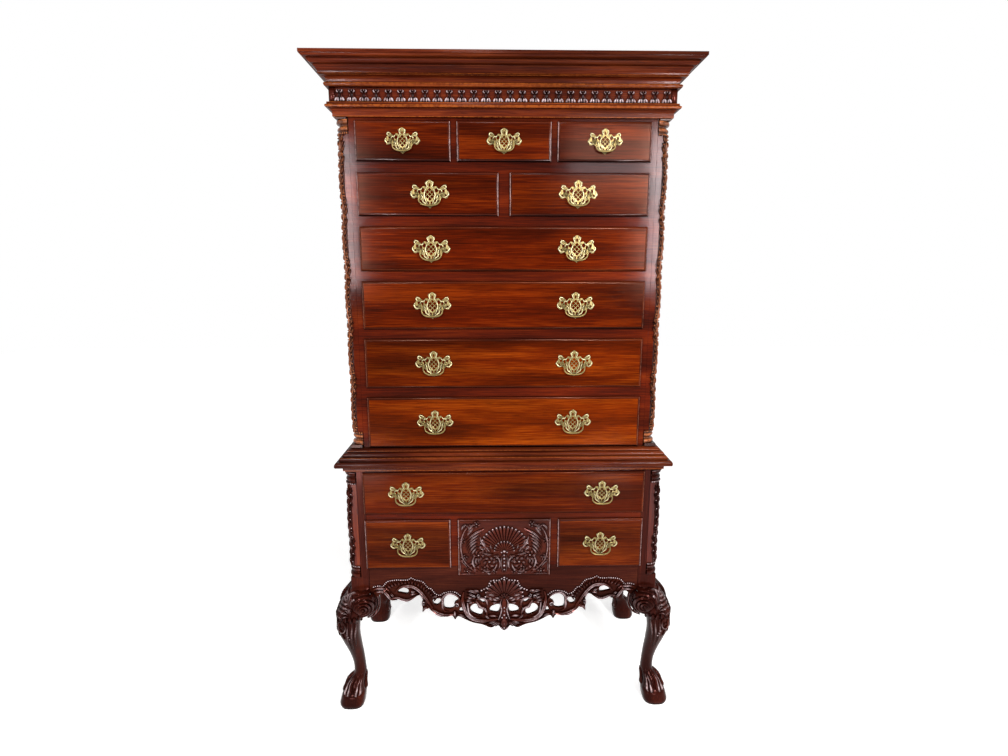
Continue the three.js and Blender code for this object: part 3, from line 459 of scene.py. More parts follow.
def box_rows(low, high, bevel):
    """Rings of a box standing along Z with its edges eased by the bevel."""
    (x0, y0, z0), (x1, y1, z1) = low, high
    rows = []
    for z, inset in ((z0, bevel), (z0 + bevel, 0), (z1 - bevel, 0), (z1, bevel)):
        ring = []
        for x, y, dx, dy in ((x0, y0, 1, 1), (x1, y0, -1, 1), (x1, y1, -1, -1), (x0, y1, 1, -1)):
            near, far = inset, inset + bevel
            first = (x + dx * far, y + dy * near, z)
            second = (x + dx * near, y + dy * far, z)
            ring += [first, second] if dx * dy < 0 else [second, first]
        rows.append(ring)
    return rows


def smooth_path(points, count, closed=False):
    """Catmull-Rom curve through the points, as count samples spaced evenly along it."""
    points = np.asarray(points, float)
    if closed:
        ends = (points[-1:], points[:2])
    else:
        ends = (2 * points[:1] - points[1:2], 2 * points[-1:] - points[-2:-1])
    padded = np.vstack([ends[0], points, ends[1]])
    spans = len(points) if closed else len(points) - 1
    dense = []
    for span in range(spans):
        p0, p1, p2, p3 = padded[span:span + 4]
        for t in np.linspace(0, 1, 12, endpoint=False):
            dense.append(0.5 * (2 * p1 + (p2 - p0) * t + (2 * p0 - 5 * p1 + 4 * p2 - p3) * t ** 2
                                + (3 * p1 - p0 - 3 * p2 + p3) * t ** 3))
    dense.append(points[0] if closed else points[-1])
    dense = np.array(dense)
    steps = np.concatenate([[0], np.cumsum(np.linalg.norm(np.diff(dense, axis=0), axis=1))])
    wanted = np.linspace(0, steps[-1], count + 1 if closed else count)
    if closed:
        wanted = wanted[:-1]
    return np.column_stack([np.interp(wanted, steps, dense[:, axis]) for axis in range(dense.shape[1])])


def eased(t, start, middle, end, peak=0.4):
    """A smooth share along a stroke: start, then middle at the peak, then end."""
    t = np.asarray(t, float)
    first = np.clip(t / peak, 0, 1)
    second = np.clip((t - peak) / (1 - peak), 0, 1)
    rise = np.sin(first * math.pi / 2)
    fall = 1 - np.cos(second * math.pi / 2)
    return np.where(t < peak, start + (middle - start) * rise, middle + (end - middle) * fall)


# Carving: ridges, beads and leaves drawn in u and v, in millimetres, on any surface(u, v, height)
LEAF = (0.25, 1.0, 0.04)
TAIL = (0.75, 1.0, 0.06)
BAND = (0.8, 1.0, 0.8)
section_places = np.sin(np.linspace(-1, 1, 7) * math.pi / 2)
sunk_mm = 2.5
vein_share = 0.3
BEAD_RINGS = ((1.0, -sunk_mm), (1.0, 0.0), (0.87, 0.5), (0.5, 0.87), (0.12, 1.0))


def ridge(shape, surface, path, width, height, taper=LEAF, groove=0.0, step=3.0, peak=0.4, worn_and_lit=1.0):
    """A rounded ridge along a path; a groove makes a vein down its middle."""
    path = np.asarray(path, float)
    length = np.linalg.norm(np.diff(path, axis=0), axis=1).sum()
    line = smooth_path(path, max(5, int(length / step) + 2))
    t = np.linspace(0, 1, len(line))
    along = np.gradient(line, axis=0)
    along /= np.linalg.norm(along, axis=1)[:, None] + 1e-9
    across = np.column_stack([-along[:, 1], along[:, 0]])
    share = eased(t, *taper, peak=peak)
    lift = height * (0.35 + 0.65 * share)
    vein = 1 - groove * np.exp(-(section_places / vein_share) ** 2)
    profile = np.sqrt(np.clip(1 - section_places ** 2, 0, 1)) * vein
    offsets = np.concatenate([[-1], section_places, [1]])
    rises = np.concatenate([[None], profile, [None]])
    rows, rubs_and_highlights = [], []
    for place, side, reach, high in zip(line, across, share * width / 2, lift):
        uv = place + np.outer(offsets * reach, side)
        heights = np.array([-sunk_mm if rise is None else rise * high for rise in rises], float)
        rows.append(surface(uv[:, 0], uv[:, 1], heights))
        # The crest takes wear and a painted highlight, scaled by worn_and_lit
        rubs_and_highlights.append(worn_and_lit * np.clip(heights, 0, None) / height)
    shape.grid(rows, rub_and_highlight=rubs_and_highlights)


def bead(shape, surface, u, v, radius, height, sides=8, worn_and_lit=1.5):
    """A round bead or boss."""
    angles = np.arange(sides) * 2 * math.pi / sides
    rows, rubs_and_highlights = [], []
    for reach, rise in BEAD_RINGS:
        lift = rise if rise < 0 else rise * height
        # The top takes wear and a painted highlight, scaled by worn_and_lit
        rubs_and_highlights.append(np.full(sides, worn_and_lit * max(rise, 0)))
        rows.append(surface(u + radius * reach * np.cos(angles), v + radius * reach * np.sin(angles),
                            np.full(sides, lift)))
    shape.grid(rows, rub_and_highlight=rubs_and_highlights)


def pearls(shape, surface, path, pitch, radius, height):
    length = np.linalg.norm(np.diff(np.asarray(path, float), axis=0), axis=1).sum()
    for u, v in smooth_path(path, max(2, int(length / pitch) + 1)):
        bead(shape, surface, u, v, radius, height)


def scroll_path(centre, start_radius, start_deg, turns, end_share):
    """Points on a spiral that winds inwards; negative turns run clockwise."""
    t = np.linspace(0, 1, 14)
    radius = start_radius * (1 - (1 - end_share) * t)
    angle = np.radians(start_deg) + 2 * math.pi * turns * t
    return np.column_stack([centre[0] + radius * np.cos(angle), centre[1] + radius * np.sin(angle)])


def feathers(shape, surface, roots, tips, bow, width, height, count):
    """Parallel curved barbs from points along one line to points along another."""
    starts, ends = smooth_path(roots, count), smooth_path(tips, count)
    for start, end in zip(starts, ends):
        middle = (start + end) / 2
        lean = np.array([-(end - start)[1], (end - start)[0]]) * bow
        ridge(shape, surface, [start, middle + lean, end], width, height, (0.4, 1.0, 0.12), 0.35)


def shell(shape, surface, root, radius, height, ribs, spread_deg, inner, pearl, squash=1.0):
    """A fan of swelling ribs about a root, with beads round its scalloped rim."""
    for rib in range(ribs):
        angle = math.radians(90 + spread_deg / 2 - spread_deg * rib / (ribs - 1))
        heading = np.array([math.cos(angle) * squash, math.sin(angle)])
        reach = radius * (0.9 + 0.1 * math.sin(angle))
        start, end = np.array(root) + heading * radius * inner, np.array(root) + heading * reach
        wide = 2 * reach * math.tan(math.radians(spread_deg / ribs / 2)) * 1.02
        line = [start, (start + end) / 2, end]
        ridge(shape, surface, line, wide, height, (0.22, 0.85, 0.95), 0.2, peak=0.75)
        if pearl:
            bead(shape, surface, *(end + heading * pearl * 0.5), pearl, pearl * 1.1 + height * 0.5)


def flat_front(face):
    """The surface of a board that faces forwards: u is X, v is Z, height comes forwards."""
    return lambda u, v, rise: np.column_stack([u * MM, face - rise * MM, v * MM])


# Drawers: lipped fronts with a moulded edge, and boxes of paler wood behind
lip_thickness = 8 * MM
lip_overlap = 6 * MM
lip_moulding = 6 * MM
field_step = 1.5 * MM
front_thickness = 14 * MM
side_thickness = 12 * MM
box_play = 1.5 * MM
box_top_play = 2 * MM
seam = 0.3 * MM
board_ease = 0.8 * MM
bottom_raise = 8 * MM
bottom_thickness = 7 * MM
side_drop = 6 * MM
carved_relief = 4.5 * MM
grain_shift = (1.7, 0.9, 2.3)
field_rough = 0.14
DRAWER_NAMES = [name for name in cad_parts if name.startswith("drawer_")]
# Tones of each row of drawer fronts, partly the boards' own tone and partly painted light and shade: rows 5
# and 6 lighter, rows 1 to 4 darker
ROW_TONES = {
    "1": ((0.013, 0.0013, 0.00031), (0.048, 0.004, 0.00044), (0.13, 0.016, 0.0013)),
    "2": ((0.013, 0.0012, 0.00025), (0.05, 0.004, 0.00036), (0.14, 0.017, 0.0011)),
    "3": ((0.013, 0.0013, 0.00025), (0.051, 0.004, 0.00029), (0.14, 0.016, 0.00099)),
    "4": ((0.013, 0.0013, 0.00025), (0.05, 0.004, 0.00029), (0.13, 0.016, 0.00099)),
    "5": ((0.019, 0.0021, 0.00025), (0.071, 0.0069, 0.00036), (0.18, 0.028, 0.0014)),
    "6": ((0.029, 0.0031, 0.00031), (0.11, 0.012, 0.00044), (0.25, 0.043, 0.0021)),
    "7": ((0.017, 0.0019, 0.00025), (0.059, 0.0052, 0.00044), (0.14, 0.021, 0.0016)),
    "8": ((0.017, 0.0021, 0.00056), (0.064, 0.0077, 0.0014), (0.16, 0.027, 0.0032)),
}


# How deep the step to the field lies at each distance inside the moulding
FIELD_EDGE = ((field_step, 0.25 * MM), (0.3 * MM, 0.3 * MM), (0, 0.8 * MM))
thumb_rings = 9


def drawer_rows(low, high, face):
    """Rings of the lipped front: back edge, thumb moulding, fillet and field."""
    places = [(lip_thickness - seam, 0)]
    deep = lip_moulding - field_step
    for turn in np.linspace(0, math.pi / 2, thumb_rings):
        places.append((field_step + deep * (1 - math.sin(turn)), lip_moulding * (1 - math.cos(turn))))
    places += [(depth, lip_moulding + inset) for depth, inset in FIELD_EDGE]
    return [[(low.x + inset, face + depth, low.z + inset), (high.x - inset, face + depth, low.z + inset),
             (high.x - inset, face + depth, high.z - inset), (low.x + inset, face + depth, high.z - inset)]
            for depth, inset in places]


def drawer_shape(low, high, face):
    shape = Shape()
    rows = drawer_rows(low, high, face)
    # The lip's thumb moulding takes a painted highlight at its left and right sides and a painted shade below
    edge = np.zeros(len(rows))
    edge[1:1 + thumb_rings] = np.sin(np.linspace(0, math.pi, thumb_rings))
    shape.grid(rows, 3, caps=False, rub_and_highlight=np.repeat(edge, 4))
    shape.add(rows[0] + rows[-1], [(3, 2, 1, 0), (4, 5, 6, 7)], 0)
    left, right = low.x + lip_overlap + box_play, high.x - lip_overlap - box_play
    bottom, top = low.z + lip_overlap + seam, high.z - lip_overlap - box_top_play
    frame_face = face + lip_thickness
    board_back = frame_face + front_thickness
    box_back = high.y
    shape.grid(box_rows((left, frame_face - seam * 2, bottom), (right, board_back, top), board_ease), 0)
    side_top = top - side_drop
    for near, far in ((left, left + side_thickness), (right - side_thickness, right)):
        shape.grid(box_rows((near, board_back - seam, bottom), (far, box_back, side_top), board_ease), 2)
    inner = (left + side_thickness - seam, right - side_thickness + seam)
    floor = bottom + bottom_raise
    shape.grid(box_rows((inner[0], box_back - side_thickness, floor),
                        (inner[1], box_back - seam, side_top), board_ease), 1)
    shape.grid(box_rows((inner[0], board_back - seam, floor),
                        (inner[1], box_back - 2 * seam, floor + bottom_thickness), 0.2 * MM), 2)
    add_dovetails(shape, left, right, board_back, box_back, bottom, side_top)
    return shape


dovetail_pitch = 34 * MM
dovetail_proud = 0.15 * MM
dovetail_sunk = 0.5 * MM
dovetail_reach = 11 * MM
dovetail_inset = 0.6 * MM
dovetail_shares = (0.18, 0.3)


def add_dovetails(shape, left, right, front, back, bottom, top):
    """The end grain of the dovetails, as thin inlays on both sides and on the back."""
    count = max(2, int((top - bottom) / dovetail_pitch))
    pitch = (top - bottom) / count
    for tail in range(count):
        z = bottom + (tail + 0.5) * pitch
        narrow, wide = (pitch * share for share in dovetail_shares)
        for x, hand in ((left, -1), (right, 1)):
            near, far = front - dovetail_reach, front
            corners = ((near, z - wide), (near, z + wide), (far, z + narrow), (far, z - narrow))
            shape.grid([[(side, *corner) for corner in corners]
                        for side in (x - hand * dovetail_sunk, x + hand * dovetail_proud)], 1)
            near, far = x - hand * dovetail_inset, x - hand * side_thickness
            corners = ((near, z - narrow), (near, z + narrow), (far, z + wide), (far, z - wide))
            shape.grid([[(across, y, up) for across, up in corners]
                        for y in (back - dovetail_sunk, back + dovetail_proud)], 2)


def make_drawers(mats):
    for number, name in enumerate(DRAWER_NAMES):
        low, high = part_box(name)
        row = name.split("_")[1]
        carved = name.endswith("carved")
        face = low.y + (carved_relief if carved else 0)
        if carved:
            front = mats["carved"]
        else:
            offset = tuple(number * step for step in grain_shift)
            front = wood(f"{name}_wood", "x", ROW_TONES[row], field_rough, field_gloss, field_tint, offset)
        shape = drawer_shape(low, high, face)
        if carved:
            carve_drawer(shape, low, face)
        lip = mats["bright_lip" if row in BRIGHT_LIP_ROWS else "lip"]
        piece = shape.build(f"{name}_fine", [front, mats["raw_x"], mats["raw_y"], lip], sharp_deg=35)
        seat(piece, name, "carved_wood" if carved else "drawer_wood", name)


# Brass pulls: outlines in millimetres from the plate's middle, right half from the top round
PLATE_EDGE = (
    (0, 41), (4, 40.4), (7.2, 37.6), (12.2, 35), (10.6, 31), (7.6, 27), (9.6, 22), (14.5, 21.6), (19, 23),
    (22.5, 20.5), (24.5, 16.6), (28.5, 15.6), (32.5, 19), (36.5, 20.5), (39, 24.6), (44, 27.2),
    (49.5, 28.1), (48.4, 24), (46, 20.5), (50, 15), (53.2, 8), (57.5, 4.5), (59.3, -0.5), (55.6, -5.5),
    (52.5, -10.5), (47, -12.6), (41.5, -10.2), (36.5, -10), (33, -14.5), (27.5, -16.4), (23.4, -19),
    (22.2, -24), (17.5, -27.4), (12, -30.4), (8.4, -35), (4.4, -37.5), (0, -41),
)
LATTICE = (
    (0, 13), (6.8, 6.2), (-6.8, 6.2), (0, -0.6), (13.4, -0.6), (-13.4, -0.6), (6.8, -7.4), (-6.8, -7.4),
    (0, -14.2),
)
lattice_reach = 5.7
PLATE_HOLES = (
    ((0, 26), 2.8, 5.6), ((20.5, 10.8), 5.2, 6.2), ((42, 9.4), 3.6, 5.0), ((30.8, 4.6), 3.8, 6.0),
    ((24, -5), 3.6, 4.8), ((14.5, -17), 4.0, 5.6), ((5.4, -26), 3.2, 5.0), ((47.5, -3.5), 2.6, 3.6),
)
PLATE_RELIEF = (
    (((35, 19), (41, 24), (47, 24.5), (50, 20), (45, 15), (38, 13)), 4.2, 2.6),
    (((53, 9), (56, 1), (52, -6), (44, -9), (37, -5)), 4.6, 2.8),
    (((22, 19), (27, 13), (34, 13), (37, 5)), 4.0, 2.2), (((3, 38), (9, 33), (5, 27)), 3.6, 2.2),
    (((12, 34), (7, 20), (14, 19)), 3.4, 2.0), (((9, 20), (16, 2), (14, -14), (4, -33)), 3.6, 2.2),
    (((22, -12), (20, -22), (10, -30), (0, -38)), 4.0, 2.4), (((26, 0), (22, -10), (27, -13)), 3.4, 2.2),
)
plate_thickness = 2.0
plate_half_height = 41.0
plate_round = 0.5
BAIL_LINE = ((31.9, 0), (30.8, -2.7), (32.3, -12), (30, -23), (20.9, -30.5), (10, -33), (0, -33.5))
BAIL_THICK = (1.8, 1.9, 2.0, 2.3, 2.8, 3.2, 3.3)
# The pin's end inside each post: distance in from the bore, and radius
PIN = ((0.9, 1.5), (3.5, 1.5), (5.2, 1.7))
half_bore = 38.0
post_reach = 11.5
POST_PROFILE = (
    (0, 5.6), (0.6, 6.4), (1.6, 6.4), (2.4, 4.6), (3.4, 3.2), (5.4, 2.7), (6.9, 3.4), (7.6, 4.3),
    (9.2, 4.7), (11.5, 4.75), (13.2, 4.2), (14.4, 3.1), (15.2, 1.7), (15.9, 0.3),
)
post_sides = 20
small_share = 0.885


def only_mesh(shape, name, mats, sharp_deg=None):
    """A mesh that several pulls share."""
    piece = shape.build(name, [mats["brass"]], sharp_deg)
    made = piece.data
    bpy.data.objects.remove(piece)
    return made


def plate_mesh(share, mats):
    """A pierced plate with raised scrolls, from a filled outline, and its turned posts."""
    right = smooth_path(PLATE_EDGE, 110)
    loops = [np.vstack([right, right[-2:0:-1] * (-1, 1)])]
    for x, z in LATTICE:
        r = lattice_reach
        loops.append(np.array([(x + r, z), (x, z + r), (x - r, z), (x, z - r)], float))
    around = np.linspace(0, 2 * math.pi, 14, endpoint=False)
    for (x, z), wide, tall in PLATE_HOLES:
        for side in ((1,) if x == 0 else (1, -1)):
            loops.append(np.column_stack([side * x + wide * np.cos(around), z + tall * np.sin(around)]))
    points, faces = board_from([loop * share * MM for loop in loops], plate_thickness * MM, plate_round)
    shape = Shape()
    shape.add(np.array(points) - (0, plate_thickness * MM, 0), faces)

    def front(u, v, rise):
        return np.column_stack([u * share, -plate_thickness - np.maximum(rise, -1), v * share]) * MM

    relief = Shape()
    for path, wide, high in PLATE_RELIEF:
        ridge(relief, front, path, wide, high, (0.5, 1.0, 0.4), step=2.0)
    relief.mirrored((-1, 1, 1))
    shape.join(relief)
    for side in (-1, 1):
        add_pull_post(shape, side * half_bore * share, share)
    return only_mesh(shape, f"plate_{round(share * 1000)}", mats, 50)


def add_pull_post(shape, x, share):
    around = np.linspace(0, 2 * math.pi, post_sides, endpoint=False)
    rows = []
    for out, radius in POST_PROFILE:
        wide = radius * share
        depth = np.full(post_sides, -plate_thickness - out * share)
        rows.append(np.column_stack([x + wide * np.cos(around), depth, wide * np.sin(around)]) * MM)
    shape.grid(rows)


def tube(shape, path, radii):
    """A round bar along points in space."""
    along = np.gradient(path, axis=0)
    along /= np.linalg.norm(along, axis=1)[:, None] + 1e-12
    angles = np.linspace(0, 2 * math.pi, 12, endpoint=False)
    rows = []
    for point, forward, radius in zip(path, along, radii):
        first = np.cross(forward, (0, 1, 0))
        first /= np.linalg.norm(first) + 1e-12
        second = np.cross(forward, first)
        rows.append(point + radius * (np.outer(np.cos(angles), first) + np.outer(np.sin(angles), second)))
    shape.grid(rows)


def bail_mesh(share, mats):
    """The drop handle: pins in the posts and a bow that swells towards its middle."""
    right = smooth_path(BAIL_LINE, 30)
    thick = np.interp(np.linspace(0, 1, 30), np.linspace(0, 1, len(BAIL_THICK)), BAIL_THICK)
    half = np.vstack([[(half_bore - inset, 0) for inset, _ in PIN], right])
    radii = np.concatenate([[radius for _, radius in PIN], thick])
    line = np.vstack([half, half[-2::-1] * (-1, 1)]) * share * MM
    radii = np.concatenate([radii, radii[-2::-1]]) * share * MM
    depth = np.full(len(line), -(plate_thickness + post_reach * share) * MM)
    shape = Shape()
    tube(shape, np.column_stack([line[:, 0], depth, line[:, 1]]), radii)
    return only_mesh(shape, f"bail_{round(share * 1000)}", mats)


def make_pulls(mats):
    plates = {share: plate_mesh(share, mats) for share in (1.0, small_share)}
    bails = {share: bail_mesh(share, mats) for share in (1.0, small_share)}
    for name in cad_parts:
        if not name.startswith("pull_plate_"):
            continue
        low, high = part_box(name)
        tag = name[len("pull_plate_"):]
        share = small_share if tag.startswith("1") else 1.0
        middle = ((low.x + high.x) / 2, high.y, low.z + plate_half_height * MM * share)
        drawer = f"drawer_{tag}" if f"drawer_{tag}" in DRAWER_NAMES else f"drawer_{tag[0]}"
        bail = f"bail_{tag}"
        for stem, mesh, body, node in (("plate", plates[share], drawer, name),
                                       ("bail", bails[share], bail, bail)):
            piece = bpy.data.objects.new(f"{stem}_{tag}_fine", mesh)
            piece.location = middle
            bpy.context.scene.collection.objects.link(piece)
            seat(piece, body, "brass", node)


# Mouldings: polish is rubbed off, and a highlight is painted, where a profile stands out from its neighbours
stand_out_reach = 2.5 * MM
stand_out_sag = 0.35


def standing_out(profile):
    """How far each point of a moulding's profile stands out from its neighbours, from 0 to 1."""
    profile = np.asarray(profile, float)
    steps = np.concatenate([[0], np.cumsum(np.linalg.norm(np.diff(profile, axis=0), axis=1))])
    before, after = (np.column_stack([np.interp(steps + shift, steps, profile[:, axis]) for axis in (0, 1)])
                     for shift in (-stand_out_reach, stand_out_reach))
    along = after - before
    outward = np.column_stack([along[:, 1], -along[:, 0]])
    outward /= np.linalg.norm(outward, axis=1)[:, None] + 1e-9
    sag = ((profile - (before + after) / 2) * outward).sum(axis=1)
    return np.clip(sag / (stand_out_sag * stand_out_reach), 0, 1)


def mitred(shape, profile, ink=0, worn_and_lit=1.0):
    """Sweeps a profile of [reach, height], in metres, round the left side, the front and the right side."""
    rows = [[(side * (upper_half + out), back_plane if at_back else upper_front - out, z)
             for out, z in profile] for side, at_back in ((-1, True), (-1, False), (1, False), (1, True))]
    shape.grid(rows, ink, rub_and_highlight=np.tile(worn_and_lit * standing_out(profile), len(rows)))


def placed(profile, reach, low, height):
    """A profile of shares in millimetres, with its corner marks."""
    return [(out * reach, low + rise * height, *corner) for out, rise, *corner in profile]


fine_step = 1.2
CORNER_GAPS = (1.5, 4)


def curved(points):
    """A finer profile: runs between corner points are drawn as smooth curves."""
    runs, run = [], []
    for x, y, *corner in points:
        run.append((x, y))
        if corner:
            runs.append(run)
            run = [(x, y)]
    if len(run) > 1:
        runs.append(run)
    line = []
    for run in runs:
        length = np.linalg.norm(np.diff(np.array(run, float), axis=0), axis=1).sum()
        if len(run) > 2:
            fine = smooth_path(run, max(4, int(length / fine_step)))
        elif len(run) < 2:
            fine = np.array(run, float)
        else:
            shares = [0] + [near / length for near in CORNER_GAPS if near * 2.2 < length]
            shares = np.array(shares + [1 - share for share in shares[::-1]])[:, None]
            fine = np.array(run[0]) * (1 - shares) + np.array(run[1]) * shares
        line.extend(fine if not line else fine[1:])
    return np.array(line)


# Cornice: reach as a share of the projection, rise as a share of the height; 1 marks a sharp edge
FRIEZE_LOW = (
    (0.44, 0, 1), (0.44, 0.14, 1), (0.47, 0.145), (0.55, 0.17), (0.72, 0.205), (0.9, 0.222, 1),
    (0.9, 0.238, 1), (1.2, 0.24), (1.34, 0.252), (1.38, 0.28), (1.34, 0.31), (1.24, 0.325, 1),
    (1.12, 0.33, 1), (1.1, 0.396, 1),
)
FRIEZE_HIGH = (
    (1.08, 0.845, 1), (1.22, 0.85), (1.35, 0.875), (1.38, 0.91), (1.33, 0.94), (1.22, 0.956, 1),
    (0.98, 0.96, 1), (0.98, 1, 1),
)
CROWN = (
    (0.24, 0.03, 1), (0.25, 0.09), (0.29, 0.14), (0.36, 0.185), (0.445, 0.2, 1), (0.445, 0.225, 1),
    (0.475, 0.235), (0.488, 0.25), (0.475, 0.268, 1), (0.49, 0.34), (0.53, 0.44), (0.6, 0.525, 1),
    (0.6, 0.55, 1), (0.63, 0.56), (0.69, 0.585), (0.745, 0.635), (0.785, 0.71, 1), (0.8, 0.71, 1),
    (0.8, 0.735), (0.86, 0.745), (0.925, 0.775), (0.965, 0.825), (0.975, 0.862, 1), (1, 0.865, 1),
    (1, 1, 1),
)
frieze_reach = 18.0
frieze_height = 92.0
frieze_bed = 8.0
crown_reach = 76.0
crown_height = 65.0
band_top_share = 0.83
band_height = 39.0
# How far faces are kept out of their neighbours' planes, in millimetres
hair = 0.3
crown_wear_and_highlight = (0.6, 0.3)


def make_cornice(mats):
    low = cornice_box[0].z / MM
    crown_low = low + frieze_height
    band_top = low + band_top_share * frieze_height
    band_low = band_top - band_height
    profile = [(hair, low, 1), *placed(FRIEZE_LOW, frieze_reach, low, frieze_height),
               (frieze_reach, band_low, 1), (frieze_bed, band_low, 1), (frieze_bed, band_top, 1),
               *placed(FRIEZE_HIGH, frieze_reach, low, frieze_height),
               *placed(CROWN, crown_reach, crown_low, crown_height), (hair, crown_low + crown_height, 1)]
    shape = Shape()
    line = curved(profile)
    # The upper part of the crown takes less wear and painted highlight
    worn_and_lit = np.where(line[:, 1] > crown_low + crown_wear_and_highlight[0] * crown_height, crown_wear_and_highlight[1], 1.0)
    mitred(shape, line * MM, worn_and_lit=worn_and_lit)
    seat(shape.build("cornice_fine", [mats["moulding"]], sharp_deg=38), CARCASS, "frame_wood", "cornice")


WAIST = (
    (0.577, 0, 1), (0.58, 0.13), (0.6, 0.18), (0.655, 0.21, 1), (0.88, 0.213, 1), (0.955, 0.23),
    (0.995, 0.28), (1, 0.34), (0.98, 0.41), (0.93, 0.46), (0.86, 0.485, 1), (0.735, 0.49, 1),
    (0.735, 0.515, 1), (0.74, 0.53), (0.73, 0.6), (0.69, 0.65), (0.62, 0.675, 1), (0.555, 0.678, 1),
    (0.555, 0.705, 1), (0.56, 0.72), (0.54, 0.78), (0.48, 0.83), (0.4, 0.852, 1), (0.335, 0.855, 1),
    (0.335, 0.88, 1), (0.33, 0.9), (0.27, 0.95), (0.19, 0.98), (0.125, 1, 1),
)
waist_reach = 52.0
setback = 25.0


def make_waist(mats):
    low, high = waist_box[0].z / MM, waist_box[1].z / MM
    step = lower_top / MM + hair
    profile = [(setback + hair, low, 1), *placed(WAIST, waist_reach, low, high - low), (hair, high, 1),
               (hair, step, 1), (setback + hair, step, 1)]
    shape = Shape()
    mitred(shape, curved(profile) * MM)
    seat(shape.build("waist_fine", [mats["moulding"]], sharp_deg=38), CARCASS, "frame_wood", "waist_moulding")


# Carved band in the cornice: pairs of upright leaves, in millimetres from the motif's foot
motif_count = 28
band_end_block = 10.0
band_base = 10.4
band_back = 8.3
motif_pitch = 35.0
end_block_proud = 3.4


def band_surface(kind):
    """Planes of the three runs: u runs along the band, v up from its foot."""
    foot = frieze_box[0].z / MM
    reach = upper_half / MM + band_base
    front = upper_front / MM - band_base

    def place(u, v, rise):
        if kind == 0:
            return np.column_stack([u, front - rise, v + foot]) * MM
        return np.column_stack([kind * (reach + rise), front + u, v + foot]) * MM
    return place


# Strokes of one motif's right half: path, width, height, taper and how worn and lit, which sets the wear and
# painted highlight on them; the drops below are the brightest
MOTIF_STROKES = (
    (((11.6, 1.6), (10.2, 6.5), (7.4, 12.5)), 8.4, 8.0, (0.9, 1.0, 0.3), 1.9),
    (((4.0, 1.6), (4.2, 6.5), (4.2, 12.5)), 7.4, 7.6, (0.9, 1.0, 0.3), 1.8),
    (((8.0, 10.5), (6.0, 18), (4.6, 25)), 6.0, 5.4, (0.7, 1.0, 0.6), 0.6),
    (((1.4, 11), (1.6, 19), (1.6, 27)), 3.2, 5.0, (0.7, 1.0, 0.6), 0.9),
    (((3.0, 25.5), (6.8, 26.5), (7.4, 31), (4.0, 33)), 4.6, 7.0, (0.7, 1.0, 0.5), 1.3),
)
# The knot's height, radius and thickness
MOTIF_KNOT = (31, 2.4, 6.0)


def add_motif(shape, surface, u, pitch):
    """Two drops below, tied at a knot, and spreading leaves above."""
    share = pitch / motif_pitch
    for side in (-1, 1):
        for path, width, height, taper, worn_and_lit in MOTIF_STROKES:
            line = [(u + side * x * share, z) for x, z in path]
            ridge(shape, surface, line, width * share, height, taper, peak=0.35, worn_and_lit=worn_and_lit)
    level, radius, height = MOTIF_KNOT
    bead(shape, surface, u, level, radius * share, height)


def make_band(mats):
    shape = Shape()
    low, high = frieze_box[0].z / MM, frieze_box[1].z / MM
    profile = np.array([(band_back, low), (band_base, low), (band_base, high), (band_back, high)])
    mitred(shape, profile * MM, ink=1, worn_and_lit=0.0)
    half = upper_half / MM + band_base - band_end_block
    pitch = 2 * half / motif_count
    for motif in range(motif_count):
        add_motif(shape, band_surface(0), -half + (motif + 0.5) * pitch, pitch)
    depth = back_plane / MM - (upper_front / MM - band_base) - band_end_block
    side_pitch = depth / round(depth / pitch)
    for side in (-1, 1):
        for motif in range(round(depth / pitch)):
            add_motif(shape, band_surface(side), band_end_block + (motif + 0.5) * side_pitch, side_pitch)
        x = side * (half + band_end_block / 2)
        y = upper_front / MM - band_base + band_end_block / 2
        reach = band_end_block / 2 + end_block_proud
        corners = ((x - reach, y - reach, low), (x + reach, y + reach, high))
        shape.grid(box_rows(*np.array(corners) * MM, board_ease))
    piece = shape.build("band_fine", [mats["carved"], mats["moulding"]], sharp_deg=60)
    seat(piece, CARCASS, "carved_wood", "frieze_band")


# Quarter columns: turned collars, then a vine that winds round the outer half of the shaft
shaft_radius = 35.0
bead_radius = 37.5
quirk = 3.5
collar_height = 36.0
notch = 35.0
block_height = 10.7
block_reach = 6.0
block_ease = 0.9
COLLAR = (
    (0, 0.9), (0.04, 0.97), (0.12, 1), (0.24, 1), (0.32, 0.95), (0.37, 0.86, 1), (0.4, 0.8), (0.47, 0.77),
    (0.54, 0.8), (0.58, 0.87, 1), (0.63, 0.91), (0.7, 0.95), (0.8, 0.95), (0.87, 0.9), (0.9, 0.86, 1),
    (1, 0.867, 1),
)
vine_middle = 27.0
vine_sway = 4.0
vine_wave = 178.0
fillet_width = 14.5
fillet_sunk = 0.1
fillet_proud = 0.4
SHAFT_RINGS = (0.2, 2.0, 6.0)
turned_wear_and_highlight = 0.5
# Vine's sprays up and down from each turn: lean, reach and rise; and the berries between turns
SPRAY_UP = ((1.0, 15, 26), (0.35, 7, 32), (-0.7, 16, 22))
SPRAY_DOWN = (-1.0, -0.2, 0.9)
leaf_pitch = 15.0
berry_pitch = 8.5
berry_count = 4
pearl_arc = (2, 54)


def column_surface(axis, sign):
    """Round a quarter column: u runs in millimetres from its side face to its front, v up."""
    def place(u, v, rise):
        angle = np.asarray(u) / shaft_radius
        reach = shaft_radius + np.asarray(rise)
        return np.column_stack([axis[0] + sign * reach * np.cos(angle), axis[1] - reach * np.sin(angle),
                                np.asarray(v) + np.zeros_like(reach)]) * MM
    return place


